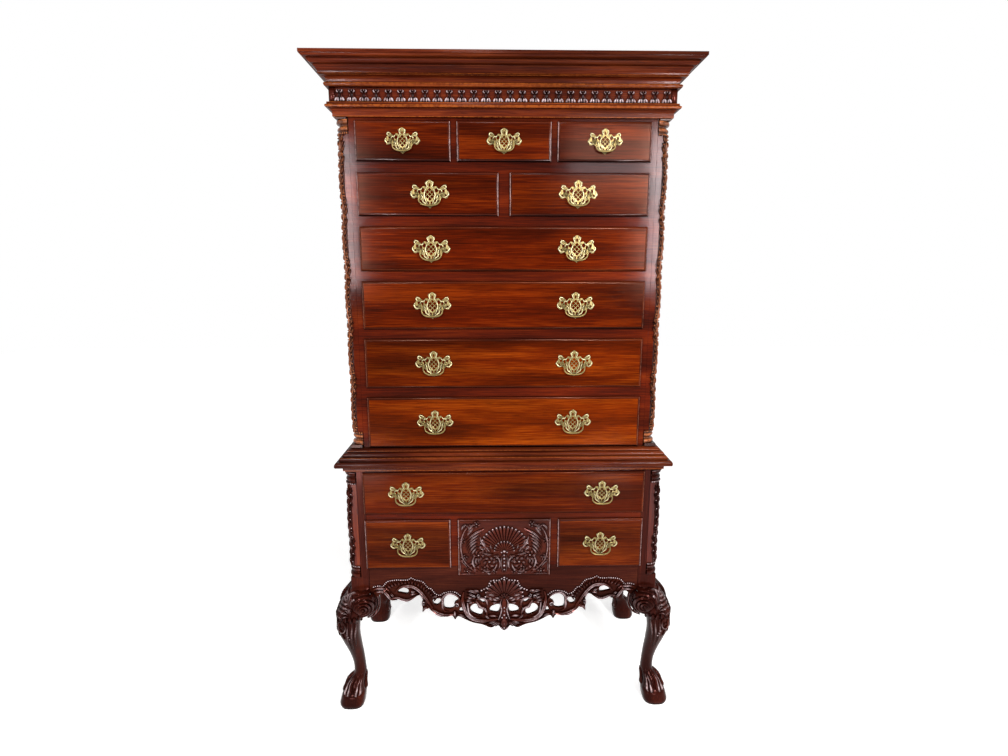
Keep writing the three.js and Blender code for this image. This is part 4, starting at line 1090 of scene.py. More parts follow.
def add_column(shape, axis, sign, bottom, top):
    collar = curved([(rise * collar_height, share * bead_radius, *corner) for rise, share, *corner in COLLAR])
    profile = [(bottom + rise, radius) for rise, radius in collar]
    profile += [(bottom + collar_height + near, shaft_radius) for near in SHAFT_RINGS]
    profile += [(top - collar_height - near, shaft_radius) for near in SHAFT_RINGS[::-1]]
    profile += [(top - rise, radius) for rise, radius in collar[::-1]]
    angles = np.linspace(-0.03, math.pi / 2 + 0.03, 17)
    rows = []
    for z, radius in profile:
        face = notch - quirk if abs(radius - shaft_radius) < 0.01 else radius
        across, forward = (np.minimum(radius * turn(angles), face) for turn in (np.cos, np.sin))
        ring = np.column_stack([axis[0] + sign * across, axis[1] - forward, np.full(len(angles), z)])
        rows.append([*ring, (axis[0] - sign * quirk, axis[1] + quirk, z)])
    # Collars take wear and a painted highlight all over, more where they stand out; the plain shaft takes
    # none
    proud = standing_out(np.array([(radius, z) for z, radius in profile]) * MM)
    turned = [z < bottom + collar_height or z > top - collar_height for z, _ in profile]
    proud = np.where(turned, turned_wear_and_highlight + (1 - turned_wear_and_highlight) * proud, 0.0)
    shape.grid(np.array(rows) * MM, rub_and_highlight=np.repeat(proud, len(angles) + 1))
    add_vine(shape, column_surface(axis, sign), bottom + collar_height, top - collar_height)
    xs = sorted((axis[0] - sign * (quirk - fillet_sunk), axis[0] + sign * fillet_width))
    ys = (axis[1] - notch + quirk - fillet_proud, axis[1])
    heights = (bottom + collar_height + 0.5, top - collar_height - 0.5)
    corners = [np.array(corner) * MM for corner in zip(xs, ys, heights)]
    shape.grid(box_rows(*corners, 0.5 * MM), 1)


def add_vine(shape, surface, low, high):
    """The winding stem, with crossing leaves where it turns and husks and berries between."""
    def stem(z):
        return vine_middle + vine_sway * math.sin(2 * math.pi * (high - z) / vine_wave)

    def leaf(z, points, *brush, **wear_and_highlight):
        """A stroke from the stem: points are how far out of the stem at z, and how far up, each lies."""
        ridge(shape, surface, [(stem(z) + out, z + up) for out, up in points], *brush, **wear_and_highlight)

    levels = np.arange(low + 4, high - 3, 6.0)
    ridge(shape, surface, [(stem(z), z) for z in levels], 5.0, 5.4, (0.7, 1.0, 0.7), step=4)
    for z in (high - 3.5, low + 3.5):
        pearls(shape, surface, [(u, z) for u in pearl_arc], 6.2, 2.8, 2.6)
    for number, z in enumerate(np.arange(low + 12, high - 24, leaf_pitch)):
        hand = 1 if number % 2 else -1
        line = [(stem(z), z), (stem(z + 7) + hand * 8, z + 6), (stem(z + 19) + hand * 14, z + 19)]
        ridge(shape, surface, line, 7.0, 6.6, (0.6, 1.0, 0.1), 0.5, worn_and_lit=1.1)
        bead(shape, surface, stem(z) - hand * 9, z + 9, 2.6, 4.6)
    turn = high - vine_wave / 4 - 8
    side = 1
    while turn > low + 30:
        for lean, reach, rise in SPRAY_UP:
            out = side * lean * reach
            leaf(turn, ((0, -4), (out * 0.25, rise * 0.55), (out, rise)), 9.0, 6.6, (0.5, 1.0, 0.08), 0.5)
        for lean in SPRAY_DOWN:
            leaf(turn, ((0, 3), (lean * 5, -11), (lean * 13, -20)), 9.0, 6.4, (0.5, 1.0, 0.08), 0.5)
        bead(shape, surface, stem(turn), turn, 4.4, 5.6)
        for step in range(berry_count):
            z = turn - 30 - step * berry_pitch
            if z > low + 8:
                off = -side * (9 - step * 1.2)
                bead(shape, surface, stem(z) + off, z, 3.0 - 0.25 * step, 3.4)
                leaf(z, ((0, -4), (off * 0.5, 1), (off, 4)), 5.5, 4.4, LEAF)
                leaf(z, ((0, 2), (-off * 0.6, 6), (-off, 13)), 7.0, 5.4, LEAF, 0.5)
        turn -= vine_wave / 2
        side = -side


def make_upper_columns(mats):
    for sign, hand in SIDES:
        low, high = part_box(f"upper_column_{hand}")
        shape = Shape()
        edge, front = sign * upper_half / MM, upper_front / MM
        axis = (edge - sign * (notch - quirk), front + notch - quirk)
        bottom, top = low.z / MM, high.z / MM
        for z0, z1, out in ((bottom, bottom + block_height, block_reach),
                            (top - block_height / 2, top, block_reach / 2)):
            xs = sorted((edge + sign * out, axis[0] + sign * hair))
            corners = (np.array((xs[0], front - out, z0)) * MM, np.array((xs[1], axis[1] - hair, z1)) * MM)
            shape.grid(box_rows(*corners, block_ease * MM))
        add_column(shape, axis, sign, bottom + block_height - hair, top - block_height / 2 + hair)
        piece = shape.build(f"upper_column_{hand}_fine", [mats["column"], mats["upper"]], sharp_deg=40)
        seat(piece, CARCASS, "carved_wood", f"upper_column_{hand}")


# Cabriole legs, in millimetres from the case's corner, X and Y running inwards; stations down the
# leg are [height, reach outwards, reach inwards, how square] as shares
LEG_STATIONS = (
    (1.02, 0, 1, 1), (1, 0.15, 1, 0.8), (0.964, 0.32, 0.97, 0.6), (0.917, 0.56, 0.89, 0.5),
    (0.84, 0.82, 0.68, 0.4), (0.776, 0.86, 0.48, 0.4), (0.714, 0.85, 0.42, 0.35), (0.648, 0.8, 0.39, 0.3),
    (0.571, 0.63, 0.41, 0.3), (0.498, 0.45, 0.44, 0.25), (0.429, 0.3, 0.48, 0.2), (0.357, 0.18, 0.51, 0.15),
    (0.286, 0.14, 0.54, 0.15), (0.245, 0.18, 0.56, 0.15), (0.214, 0.45, 0.59, 0.25),
    (0.191, 0.64, 0.61, 0.35), (0.143, 0.77, 0.6, 0.5), (0.095, 0.88, 0.57, 0.6), (0.038, 0.98, 0.53, 0.65),
    (0.014, 0.97, 0.5, 0.65), (0, 0.95, 0.48, 0.6),
)
knee_reach = 55.0
post_width = 62.0
post_depth = 50.0
squarest = 0.75
steepest = 1.6
FRONT_WHORL = (33.0, 378.0, 45.0)
SIDE_WHORL = (33.0, 366.0, 36.0)
whorl_depth = 34.0
whorl_front = -12.6
stations = smooth_path(LEG_STATIONS, 150)[::-1]


def leg_section(z):
    """Middle, half width and power of the leg's section at a height."""
    share = z * MM / leg_height
    out, inward, square = (np.interp(share, stations[:, 0], stations[:, column]) for column in (1, 2, 3))
    near, far = -out * knee_reach, inward * post_width
    return (near + far) / 2, (far - near) / 2, 2 / (1 - squarest * square ** 2)


def leg_front(x, z, whorl):
    """How far forward the knee's skin or its whorl lies at X and Z."""
    middle, half, power = leg_section(z)
    side = np.minimum(np.abs(x - middle), half * 0.985)
    skin = middle - (half ** power - side ** power) ** (1 / power)
    away = ((x - whorl[0]) ** 2 + (z - whorl[1]) ** 2) / whorl[2] ** 2
    dome = whorl_front - whorl_depth * np.sqrt(np.clip(1 - away, 0, 1))
    return np.where(away < 1, np.minimum(skin, dome), skin)


def to_world(points, swap=False):
    """From the left front corner of the lower case, in millimetres; swap turns the front to the side."""
    points = np.asarray(points, float)
    if swap:
        points = points[..., [1, 0, 2]]
    return (points + (-lower_half / MM, lower_front / MM, 0)) * MM


def knee_surface(swap):
    whorl = SIDE_WHORL if swap else FRONT_WHORL

    def place(u, v, rise):
        u, v, rise = (np.asarray(value, float) + np.zeros(len(np.atleast_1d(u))) for value in (u, v, rise))
        y = leg_front(u, v, whorl)
        slopes = (leg_front(u + 1, v, whorl) - leg_front(u - 1, v, whorl),
                  leg_front(u, v + 1, whorl) - leg_front(u, v - 1, whorl))
        slope_x, slope_z = (np.clip(slope / 2, -steepest, steepest) for slope in slopes)
        normal = np.column_stack([slope_x, -np.ones_like(u), slope_z])
        normal /= np.linalg.norm(normal, axis=1)[:, None]
        return to_world(np.column_stack([u, y, v]) + normal * rise[:, None], swap)
    return place


# How far the web between the toes shrinks at each height
web_heights = (0, 10, 40, 52, 70, 86, 98, 106)
web_shares = (0.97, 0.99, 0.97, 0.86, 0.76, 0.76, 0.86, 1.0)
skin_sides = 40
SKIN_LEVELS = np.concatenate([np.linspace(0, 0.3, 30), np.linspace(0.32, 1.02, 56)])


def add_leg_skin(shape):
    """The cabriole curve, from the foot up to the post."""
    angles = np.linspace(0, 2 * math.pi, skin_sides, endpoint=False)
    across, along = np.cos(angles), np.sin(angles)
    rows = []
    for z in SKIN_LEVELS * leg_height / MM:
        middle, half, power = leg_section(z)
        web = np.interp(z, web_heights, web_shares)
        reach = web * half * (np.abs(across) ** power + np.abs(along) ** power) ** (-1 / power)
        places = [middle + reach * across, middle + reach * along, np.full(skin_sides, z)]
        rows.append(to_world(np.column_stack(places)))
    shape.grid(rows)


# Toes: height, reach as a share of the foot's half width there, half width, spread of its two pads
TOE = (
    (112, 0.85, 3.5, 0), (105, 0.95, 4.5, 1), (98, 1.05, 6, 2), (92, 1.06, 7, 3), (85, 1.0, 7.5, 4),
    (78, 0.98, 7.5, 5), (70, 0.98, 8, 5.5), (62, 1.0, 9.5, 6.5), (54, 1.03, 11, 7.5), (47, 1.0, 10, 7),
    (40, 0.95, 6.5, 4), (30, 0.96, 6, 2), (17, 0.99, 6, 1), (8, 0.99, 4.5, 0), (1.5, 0.96, 2.4, 0),
)
TOE_ANGLES = (176.0, 236.0, 296.0, 20.0)


def add_toes(shape):
    """Four toes round the ball, each of two pads side by side."""
    line = smooth_path(TOE, 46)
    around = np.linspace(0, 2 * math.pi, 12, endpoint=False)
    for angle in np.radians(TOE_ANGLES):
        out = np.array([math.cos(angle), math.sin(angle)])
        side = np.array([-out[1], out[0]])
        for pad in (-1, 1):
            rows, rubs_and_highlights = [], []
            for z, reach, wide, spread in line:
                # The outer face of each pad takes wear and a painted highlight, most where the toe is wide
                rubs_and_highlights.append(np.clip(np.cos(around), 0, 1) ** 3 * np.clip(wide / 6 - 0.25, 0, 1.2))
                middle, half, _ = leg_section(z)
                place = middle + out * (reach * half - wide * 0.8) + side * pad * spread
                ring = wide * (np.outer(np.cos(around), out) * 0.85 + np.outer(np.sin(around), side) * 0.8)
                rows.append(np.column_stack([place + ring, np.full(len(around), z)]))
            shape.grid(to_world(rows), rub_and_highlight=rubs_and_highlights)


knee_hinge = np.array((2.0, 350.0))
knee_volute = np.array((46.0, 373.0))
knee_top = 421.0
VOLUTE_ARCS = ((10, -100, 200), (19, -110, 190), (28, -112, 182), (37, -108, 172), (46, -80, 160))
KNEE_DROPS = ((-37, 350, -4), (-26, 346, -2), (-13, 341, 0), (2, 337, 2), (16, 333, 3), (30, 331, 4))
KNEE_BEADS = ((-12, 284), (-8, 274), (-4, 264))
knee_ring = np.array((-26.0, 312.0))
KNEE_RIM = ((-41, 344), (-39, 364), (-29, 384), (-14, 400), (2, 411), (16, 404))
KNEE_STROKES = (
    (((-24, 387), (-10, 405), (16, 419), (50, 420)), 7, 5, TAIL, 0.0),
    (((-6, 330), (-9, 300), (-10, 262), (-4, 215)), 9, 3.6, (0.6, 1.0, 0.05), 0.0),
    (((8, 334), (5, 300), (2, 262), (5, 210)), 9, 3.6, (0.6, 1.0, 0.05), 0.0),
    (((19, 330), (16, 300), (12, 270), (13, 225)), 8, 3.6, (0.6, 1.0, 0.05), 0.0),
    (((50, 336), (62, 334), (72, 342), (72, 354), (62, 358)), 8, 6, TAIL, 0.0),
    (((-20, 296), (-14, 274), (-6, 252)), 12, 4.5, LEAF, 0.4),
    (((-30, 292), (-27, 276), (-20, 262)), 8, 4, LEAF, 0.4),
)


def carve_knee(shape, surface):
    """A palmette of bending ribs with a lobed rim, a ringed whorl and soft folds, as seen from the front."""
    for end in smooth_path(KNEE_RIM, 8):
        reach = end - knee_hinge
        bend = knee_hinge + reach * (0.45, 0.72) + (0, 8)
        ridge(shape, surface, [knee_hinge + reach * 0.15, bend, end], 12.5, 5.6, (0.25, 0.8, 1.0), peak=0.75)
        bead(shape, surface, *(knee_hinge + reach * 1.03), 4.0, 5.0)
    for radius, start, end in VOLUTE_ARCS:
        turns = np.radians(np.linspace(start, end, 9))
        arc = knee_volute + radius * np.column_stack([np.cos(turns), np.sin(turns)])
        ridge(shape, surface, np.minimum(arc, (math.inf, knee_top)), 8.6, 6.0, (0.35, 1.0, 0.3), 0.15)
    bead(shape, surface, *knee_volute, 5, 4, worn_and_lit=0.8)
    for end in smooth_path(KNEE_RIM, 6):
        reach = (end - knee_hinge) * 0.52
        line = [knee_hinge, knee_hinge + reach * (0.5, 0.75) + (0, 4), knee_hinge + reach]
        ridge(shape, surface, line, 9, 9, (0.3, 0.9, 0.7), peak=0.7)
    for x, z, turn in KNEE_DROPS:
        ridge(shape, surface, [(x - 2, z + 12), (x, z), (x + turn, z - 12)], 13, 8, (0.5, 1.0, 0.4), 0.4)
    for path, width, height, taper, groove in KNEE_STROKES:
        ridge(shape, surface, path, width, height, taper, groove)
    turns = np.linspace(1.2, -4.6, 9)
    ring = knee_ring + np.column_stack([13 * np.cos(turns), 20 * np.sin(turns)])
    ridge(shape, surface, ring, 7, 6.5, (0.4, 1.0, 0.5))
    bead(shape, surface, *(knee_ring - (0, 2)), 5, 5, worn_and_lit=0.8)
    for x, z in KNEE_BEADS:
        bead(shape, surface, x, z, 3.6, 3.6)


lower_block = 48.0
head_gap = 18.0


def add_leg_post(shape, front):
    """The post that the leg grows from; a front one carries a quarter column in a notch."""
    low, high = leg_height / MM, lower_top / MM
    column_low, column_high = low + lower_block, high - head_gap
    if front:
        boxes = (((0, 0, low), (post_width, post_depth, column_low)),
                 ((0, 0, column_high), (post_width, post_depth, high)),
                 ((notch, 0, column_low - 1), (post_width, post_depth, column_high + 1)),
                 ((0, notch, column_low - 1), (notch + 1, post_depth, column_high + 1)))
    else:
        boxes = (((0, 0, low), (post_depth, post_depth, high)),)
    for corners in boxes:
        shape.grid(to_world(box_rows(*corners, board_ease / MM)))
    if front:
        axis = (-lower_half / MM + notch - quirk, lower_front / MM + notch - quirk)
        add_column(shape, axis, -1, column_low - hair, column_high + hair)


# The bracket behind the knee
ear_start = 22.0
ear_length = 128.0
ear_top = 420.0
ear_inner = 8.0
ear_leaf_pitch = 15.0


def ear_sizes(t):
    """How far the bracket stands out and where its lower edge lies, at a share of its length."""
    return 47 * (1 - t) ** 1.25, 338 + 72 * t ** 0.9


def ear_ring(t):
    """The bracket's section at a share of its length behind the knee: X and Z, from the top round."""
    bulge, low = ear_sizes(t)
    over, high, rise = 26 * (1 - t) ** 1.1, ear_top - hair, ear_top - low
    return [(-over, high), (ear_inner, high), (ear_inner, low + 6), (2, low), (-bulge * 0.6, low + 2),
            (-bulge * 0.92, low + rise * 0.25), (-bulge, low + rise * 0.45),
            (-(bulge + over) / 2 - 2 * (1 - t), low + rise * 0.75)]


def add_ear(shape, swap):
    """The bracket that runs back under the case from the knee, with its slanting leaves."""
    rows = [[(x, ear_start + ear_length * t, z) for x, z in ear_ring(t)] for t in np.linspace(0, 1, 22)]
    shape.grid(to_world(rows, swap))

    def side(u, v, rise):
        t = np.clip((np.asarray(u) - ear_start) / ear_length, 0, 1)
        bulge, low = ear_sizes(t)
        high = np.clip((np.asarray(v) - low) / (ear_top - low), 0, 1)
        out = -bulge * (1 - 0.45 * (2 * high - 0.9) ** 2) - np.asarray(rise)
        return to_world(np.column_stack([out, u, v]), swap)

    for leaf in range(7):
        y = ear_start + 4 + leaf * ear_leaf_pitch
        low = 4 + ear_sizes((y - ear_start) / ear_length)[1]
        line = [(y, low + 4), (y + 9, (low + ear_top) / 2), (y + 12, ear_top - 4)]
        ridge(shape, side, line, 13, 5, (0.4, 1.0, 0.2), 0.4)


whorl_sides = 28
whorl_top = 427.5


def add_whorl(shape, swap):
    """The dome that the volute is carved on."""
    x, z, radius = SIDE_WHORL if swap else FRONT_WHORL
    around = np.linspace(0, 2 * math.pi, whorl_sides, endpoint=False)
    rows = []
    for turn in np.linspace(0, math.pi / 2, 10):
        spread = radius * math.cos(turn) + 0.1
        depth = np.full(whorl_sides, whorl_front - whorl_depth * math.sin(turn))
        rows.append(np.column_stack([x + spread * np.cos(around), depth,
                                     np.minimum(z + spread * np.sin(around), whorl_top)]))
    shape.grid(to_world(rows, swap))


def make_legs(mats):
    legs = {}
    for front in (True, False):
        shape = Shape()
        add_leg_skin(shape)
        add_toes(shape)
        add_leg_post(shape, front)
        for swap in (False, True):
            add_whorl(shape, swap)
            if front:
                carve_knee(shape, knee_surface(swap))
        add_ear(shape, False)
        if not front:
            add_ear(shape, True)
        legs[front] = shape
    for front, row in ((True, "front"), (False, "rear")):
        for sign, hand in SIDES:
            piece = legs[front].build(f"leg_{row}_{hand}_fine", [mats["leg"], mats["lower"]], sharp_deg=40)
            flip = (-sign, 1 if front else -1, 1, 1)
            piece.data.transform(Matrix.Diagonal(flip))
            if flip[0] * flip[1] < 0:
                piece.data.flip_normals()
            seat(piece, CARCASS, "carved_wood", f"leg_{row}_{hand}")


# Pierced apron: shares of its half width outwards and of its drop below the rail, left half
APRON_EDGE = (
    (1, 0.3), (0.965, 0.26), (0.921, 0.093), (0.882, 0.123), (0.862, 0.198), (0.794, 0.228), (0.735, 0.249),
    (0.695, 0.216), (0.664, 0.136), (0.634, 0.123), (0.603, 0.198), (0.621, 0.327), (0.614, 0.42),
    (0.614, 0.537), (0.583, 0.444), (0.546, 0.469), (0.515, 0.568), (0.469, 0.642), (0.432, 0.654),
    (0.393, 0.63), (0.371, 0.716), (0.346, 0.642), (0.294, 0.716), (0.241, 0.79), (0.163, 0.846),
    (0.101, 0.92), (0.048, 0.87), (0, 1),
)
APRON_HOLES = (
    ((0.798, 0.062), (0.774, -0.025), (0.739, -0.031), (0.715, 0.012), (0.724, 0.105), (0.763, 0.093)),
    ((0.535, 0.256), (0.504, 0.222), (0.474, 0.235), (0.482, 0.315), (0.502, 0.377), (0.529, 0.352)),
    ((0.45, 0.426), (0.452, 0.259), (0.436, 0.167), (0.397, 0.13), (0.36, 0.167), (0.342, 0.253), (0.375,
     0.333), (0.373, 0.414), (0.393, 0.463), (0.43, 0.463)),
    ((0.34, 0.525), (0.323, 0.432), (0.314, 0.537)),
    ((0.191, 0.253), (0.17, 0.235), (0.143, 0.29), (0.158, 0.34), (0.178, 0.302)),
    ((0.254, 0.432), (0.23, 0.361), (0.208, 0.364), (0.193, 0.457), (0.162, 0.494), (0.171, 0.623), (0.208,
     0.611), (0.248, 0.537)),
    ((0.11, 0.485), (0.09, 0.401), (0.033, 0.37), (0.038, 0.512), (0.055, 0.568), (0.101, 0.543)),
)
apron_thickness = 13.0
apron_round = 0.22
apron_drop = 162.0
apron_top = 505.7
# Its top edge dips under the carved drawer
dip_half = 147.7
dip_level = 478.7


def board_from(loops, thick, round_share):
    """Points and faces of a pierced board in X and Z, its front at Y = 0 and its back at thick."""
    curve = bpy.data.curves.new("outline", "CURVE")
    curve.dimensions = "2D"
    curve.fill_mode = "BOTH"
    for loop in loops:
        spline = curve.splines.new("POLY")
        spline.points.add(len(loop) - 1)
        flat = np.column_stack([loop, np.zeros(len(loop)), np.ones(len(loop))])
        spline.points.foreach_set("co", flat.ravel())
        spline.use_cyclic_u = True
    curve.extrude = thick / 2 * (1 - round_share)
    curve.bevel_depth = thick / 2 * round_share
    curve.bevel_resolution = 2
    curve.offset = -thick / 2 * round_share
    holder = bpy.data.objects.new("outline", curve)
    bpy.context.scene.collection.objects.link(holder)
    made = bpy.data.meshes.new_from_object(holder.evaluated_get(bpy.context.evaluated_depsgraph_get()))
    points = [(point.co.x, thick / 2 - point.co.z, point.co.y) for point in made.vertices]
    faces = [tuple(face.vertices) for face in made.polygons]
    bpy.data.objects.remove(holder)
    return points, faces


# Strokes of the apron's left half, each drawn on a grid: where its corner lies in X and Z and how far
# its steps reach, in millimetres. Path, width, height, taper and vein
SIDE_GRID = ((-471.1, 495.0), (0.354, -0.395))
MIDDLE_GRID = ((-219.8, 472.3), (0.274, -0.302))
SIDE_STROKES = (
    (((292, 212), (318, 178), (355, 158), (400, 150), (460, 158), (515, 195), (560, 245), (600, 305),
     (638, 362)), 13, 10, (0.5, 1.0, 0.6), 0.3),
    (((590, 335), (640, 384), (700, 417), (770, 434), (835, 424), (878, 412)), 14, 9, (0.5, 1.0, 0.5), 0.4),
    (((60, 188), (120, 172), (190, 176), (250, 205)), 9, 7, LEAF, 0.3),
    (((70, 215), (130, 200), (190, 205), (240, 240)), 9, 7, LEAF, 0.3),
    (((180, 200), (215, 240), (245, 275), (300, 285)), 12, 8, TAIL, 0.3),
    (((235, 215), (262, 240), (285, 262)), 9, 8, LEAF, 0.4),
    (((255, 262), (310, 262), (345, 277), (400, 288), (450, 266), (500, 240), (540, 246)), 11, 8, TAIL,
     0.3),
    (((425, 190), (455, 205), (500, 206)), 8, 8, LEAF, 0.3),
    (((415, 236), (455, 226), (510, 222)), 9, 8, LEAF, 0.3),
    (((520, 225), (545, 262), (553, 300)), 9, 8, TAIL, 0.2),
    (((590, 348), (562, 370), (540, 404)), 10, 8, LEAF, 0.3),
    (((602, 366), (572, 362), (544, 345)), 8, 7, LEAF, 0.3),
    (((645, 258), (672, 252), (704, 266)), 8, 7, LEAF, 0.3),
    (((704, 258), (736, 292), (735, 345), (752, 392), (795, 402)), 9, 8, TAIL, 0.2),
    (((736, 318), (738, 268), (775, 232), (830, 229), (882, 256), (908, 300)), 9, 9, (0.6, 1.0, 0.6), 0.2),
    (((862, 426), (925, 440), (990, 488)), 9, 8, LEAF, 0.4),
    (((640, 395), (700, 434), (760, 448)), 7, 9, LEAF, 0.2),
    (((852, 395), (852, 430), (860, 465)), 9, 9, TAIL, 0.2),
    (((925, 330), (930, 370), (955, 410)), 8, 8, LEAF, 0.2),
)
MIDDLE_STROKES = (
    (((300, 205), (282, 290), (305, 400), (345, 488), (425, 545), (530, 566), (640, 560), (722, 548)), 17,
     10, (0.4, 1.0, 0.5), 0.25),
    (((345, 335), (350, 405), (366, 472), (430, 520), (522, 530)), 8, 10, TAIL, 0.0),
    (((320, 184), (380, 190), (450, 212), (502, 258)), 10, 8, LEAF, 0.4),
    (((340, 218), (400, 242), (462, 262)), 9, 8, LEAF, 0.4),
    (((400, 192), (462, 190), (522, 222)), 9, 8, LEAF, 0.3),
    (((306, 318), (370, 308), (432, 326)), 10, 8, LEAF, 0.4),
    (((340, 352), (388, 334), (440, 336)), 8, 7, LEAF, 0.3),
    (((330, 262), (390, 280), (448, 292)), 9, 7, LEAF, 0.3),
    (((450, 312), (474, 352), (508, 394), (554, 412), (580, 456), (592, 510), (640, 545)), 9, 9, TAIL, 0.2),
    (((450, 305), (498, 280), (566, 300), (592, 350), (590, 400)), 9, 8, (0.6, 1.0, 0.6), 0.2),
    (((600, 250), (640, 296), (694, 318)), 10, 8, LEAF, 0.3),
    (((640, 332), (690, 344), (738, 334)), 8, 7, LEAF, 0.3),
    (((598, 506), (650, 502), (700, 508), (742, 526)), 8, 8, LEAF, 0.2),
    (((556, 482), (600, 528), (650, 548)), 8, 8, LEAF, 0.3),
    (((776, 292), (752, 350), (768, 430), (752, 500), (728, 556)), 7, 9, (0.6, 1.0, 0.7), 0.0),
    (((724, 556), (650, 584), (552, 612)), 9, 9, LEAF, 0.4),
    (((730, 564), (670, 604), (598, 636)), 9, 9, LEAF, 0.4),
    (((738, 570), (690, 616), (640, 656)), 9, 9, LEAF, 0.4),
    (((746, 576), (716, 616), (692, 648)), 9, 9, LEAF, 0.4),
    (((744, 640), (772, 668), (803, 690)), 7, 8, LEAF, 0.0),
    (((752, 300), (708, 276), (660, 268)), 9, 10, LEAF, 0.2),
    (((740, 316), (690, 300), (630, 262)), 9, 10, LEAF, 0.2),
    (((700, 262), (640, 240), (566, 236)), 10, 9, LEAF, 0.2),
)
APRON_SCROLLS = (
    (SIDE_GRID, (872, 336), 7.5, 160, -1.5), (SIDE_GRID, (556, 318), 7, 60, 1.3),
    (MIDDLE_GRID, (486, 252), 6.5, 90, 1.4), (MIDDLE_GRID, (424, 262), 6, 200, -1.4),
)
SIDE_PEARLS = (
    (80, 160), (130, 150), (168, 156), (202, 120), (235, 106), (295, 98), (405, 98), (440, 80), (480, 98),
    (550, 118), (600, 174), (632, 186), (665, 228), (712, 246), (750, 224), (820, 213), (865, 222),
    (905, 250),
)
MIDDLE_PEARLS = ((520, 192), (600, 150), (640, 76), (742, 70), (772, 48), (803, 34))
MIDDLE_BEADS = ((520, 408), (564, 416), (775, 526))
FEATHER_ROOTS = ((200, 195), (265, 165), (350, 136), (450, 136), (540, 178), (615, 250), (655, 300))
FEATHER_TIPS = ((168, 176), (228, 124), (322, 110), (440, 98), (530, 130), (628, 200), (696, 262))
# Beads down the apron's middle: height and radius
DROP_BEADS = ((351, 3.2), (338, 3.2), (323, 4.0), (274, 3.4))


def on_grid(grid, path):
    """Points of a drawing in millimetres of X and Z."""
    return np.array(grid[0]) + np.asarray(path, float) * grid[1]


def carve_apron(shape, surface):
    """The left half's leaves, scrolls and rows of beads."""
    for grid, strokes in ((SIDE_GRID, SIDE_STROKES), (MIDDLE_GRID, MIDDLE_STROKES)):
        for path, width, height, taper, groove in strokes:
            ridge(shape, surface, on_grid(grid, path), width, height, taper, groove, worn_and_lit=1.12)
    roots, tips = (on_grid(SIDE_GRID, ends) for ends in (FEATHER_ROOTS, FEATHER_TIPS))
    feathers(shape, surface, roots, tips, 0.12, 8, 7, 19)
    for grid, centre, radius, start, turns in APRON_SCROLLS:
        middle = on_grid(grid, centre)
        line = scroll_path(middle, radius, start, turns, 0.15)
        ridge(shape, surface, line, radius * 0.55, 10, TAIL, worn_and_lit=1.2)
        bead(shape, surface, *middle, radius * 0.3, 10)
    for place in on_grid(MIDDLE_GRID, MIDDLE_BEADS):
        bead(shape, surface, *place, 3.6, 10)
    pearls(shape, surface, on_grid(SIDE_GRID, SIDE_PEARLS), 7.2, 2.9, 4.2)
    pearls(shape, surface, on_grid(MIDDLE_GRID, MIDDLE_PEARLS), 9.0, 3.7, 5.0)


def make_apron(mats):
    half = lower_half / MM - post_width - hair
    level = leg_height / MM

    def points_of(shares, sign):
        return np.array([(sign * across * half, level - drop * apron_drop) for across, drop in shares])

    edge = smooth_path(points_of(APRON_EDGE, -1), 170)
    low_edge = np.vstack([edge, edge[-2::-1] * (-1, 1)])
    top = np.array([(half, apron_top), (dip_half, apron_top), (dip_half, dip_level), (-dip_half, dip_level),
                    (-dip_half, apron_top), (-half, apron_top)])
    loops = [np.vstack([low_edge, top]) * MM]
    for hole in APRON_HOLES:
        for sign in (-1, 1):
            loops.append(smooth_path(points_of(hole, sign), 30, closed=True) * MM)
    points, faces = board_from(loops, apron_thickness * MM, apron_round)
    shape = Shape()
    shape.add(np.array(points) + (0, lower_front, 0), faces, ink=1)
    surface = flat_front(lower_front)
    root = level - apron_drop * 0.2
    carved = Shape()
    carve_apron(carved, surface)
    carved.mirrored((-1, 1, 1))
    shape.join(carved)
    shell(shape, surface, (0, root), 66, 7.5, 15, 200, 0.2, 3.2, 1.04)
    shell(shape, surface, (0, root - 2), 19, 10, 7, 190, 0.2, None)
    ridge(shape, surface, [(0, 384), (0, 345), (0, 302)], 24, 6.5, (0.6, 1.0, 0.6), worn_and_lit=0.6)
    ridge(shape, surface, [(0, 306), (0, 288), (0, 266)], 26, 8, (0.5, 1.0, 0.35), worn_and_lit=0.8)
    for z, radius in DROP_BEADS:
        bead(shape, surface, 0, z, radius, 9.5, sides=12)
    piece = shape.build("apron_fine", [mats["carved"], mats["apron"]], sharp_deg=55)
    seat(piece, CARCASS, "carved_wood", "apron")


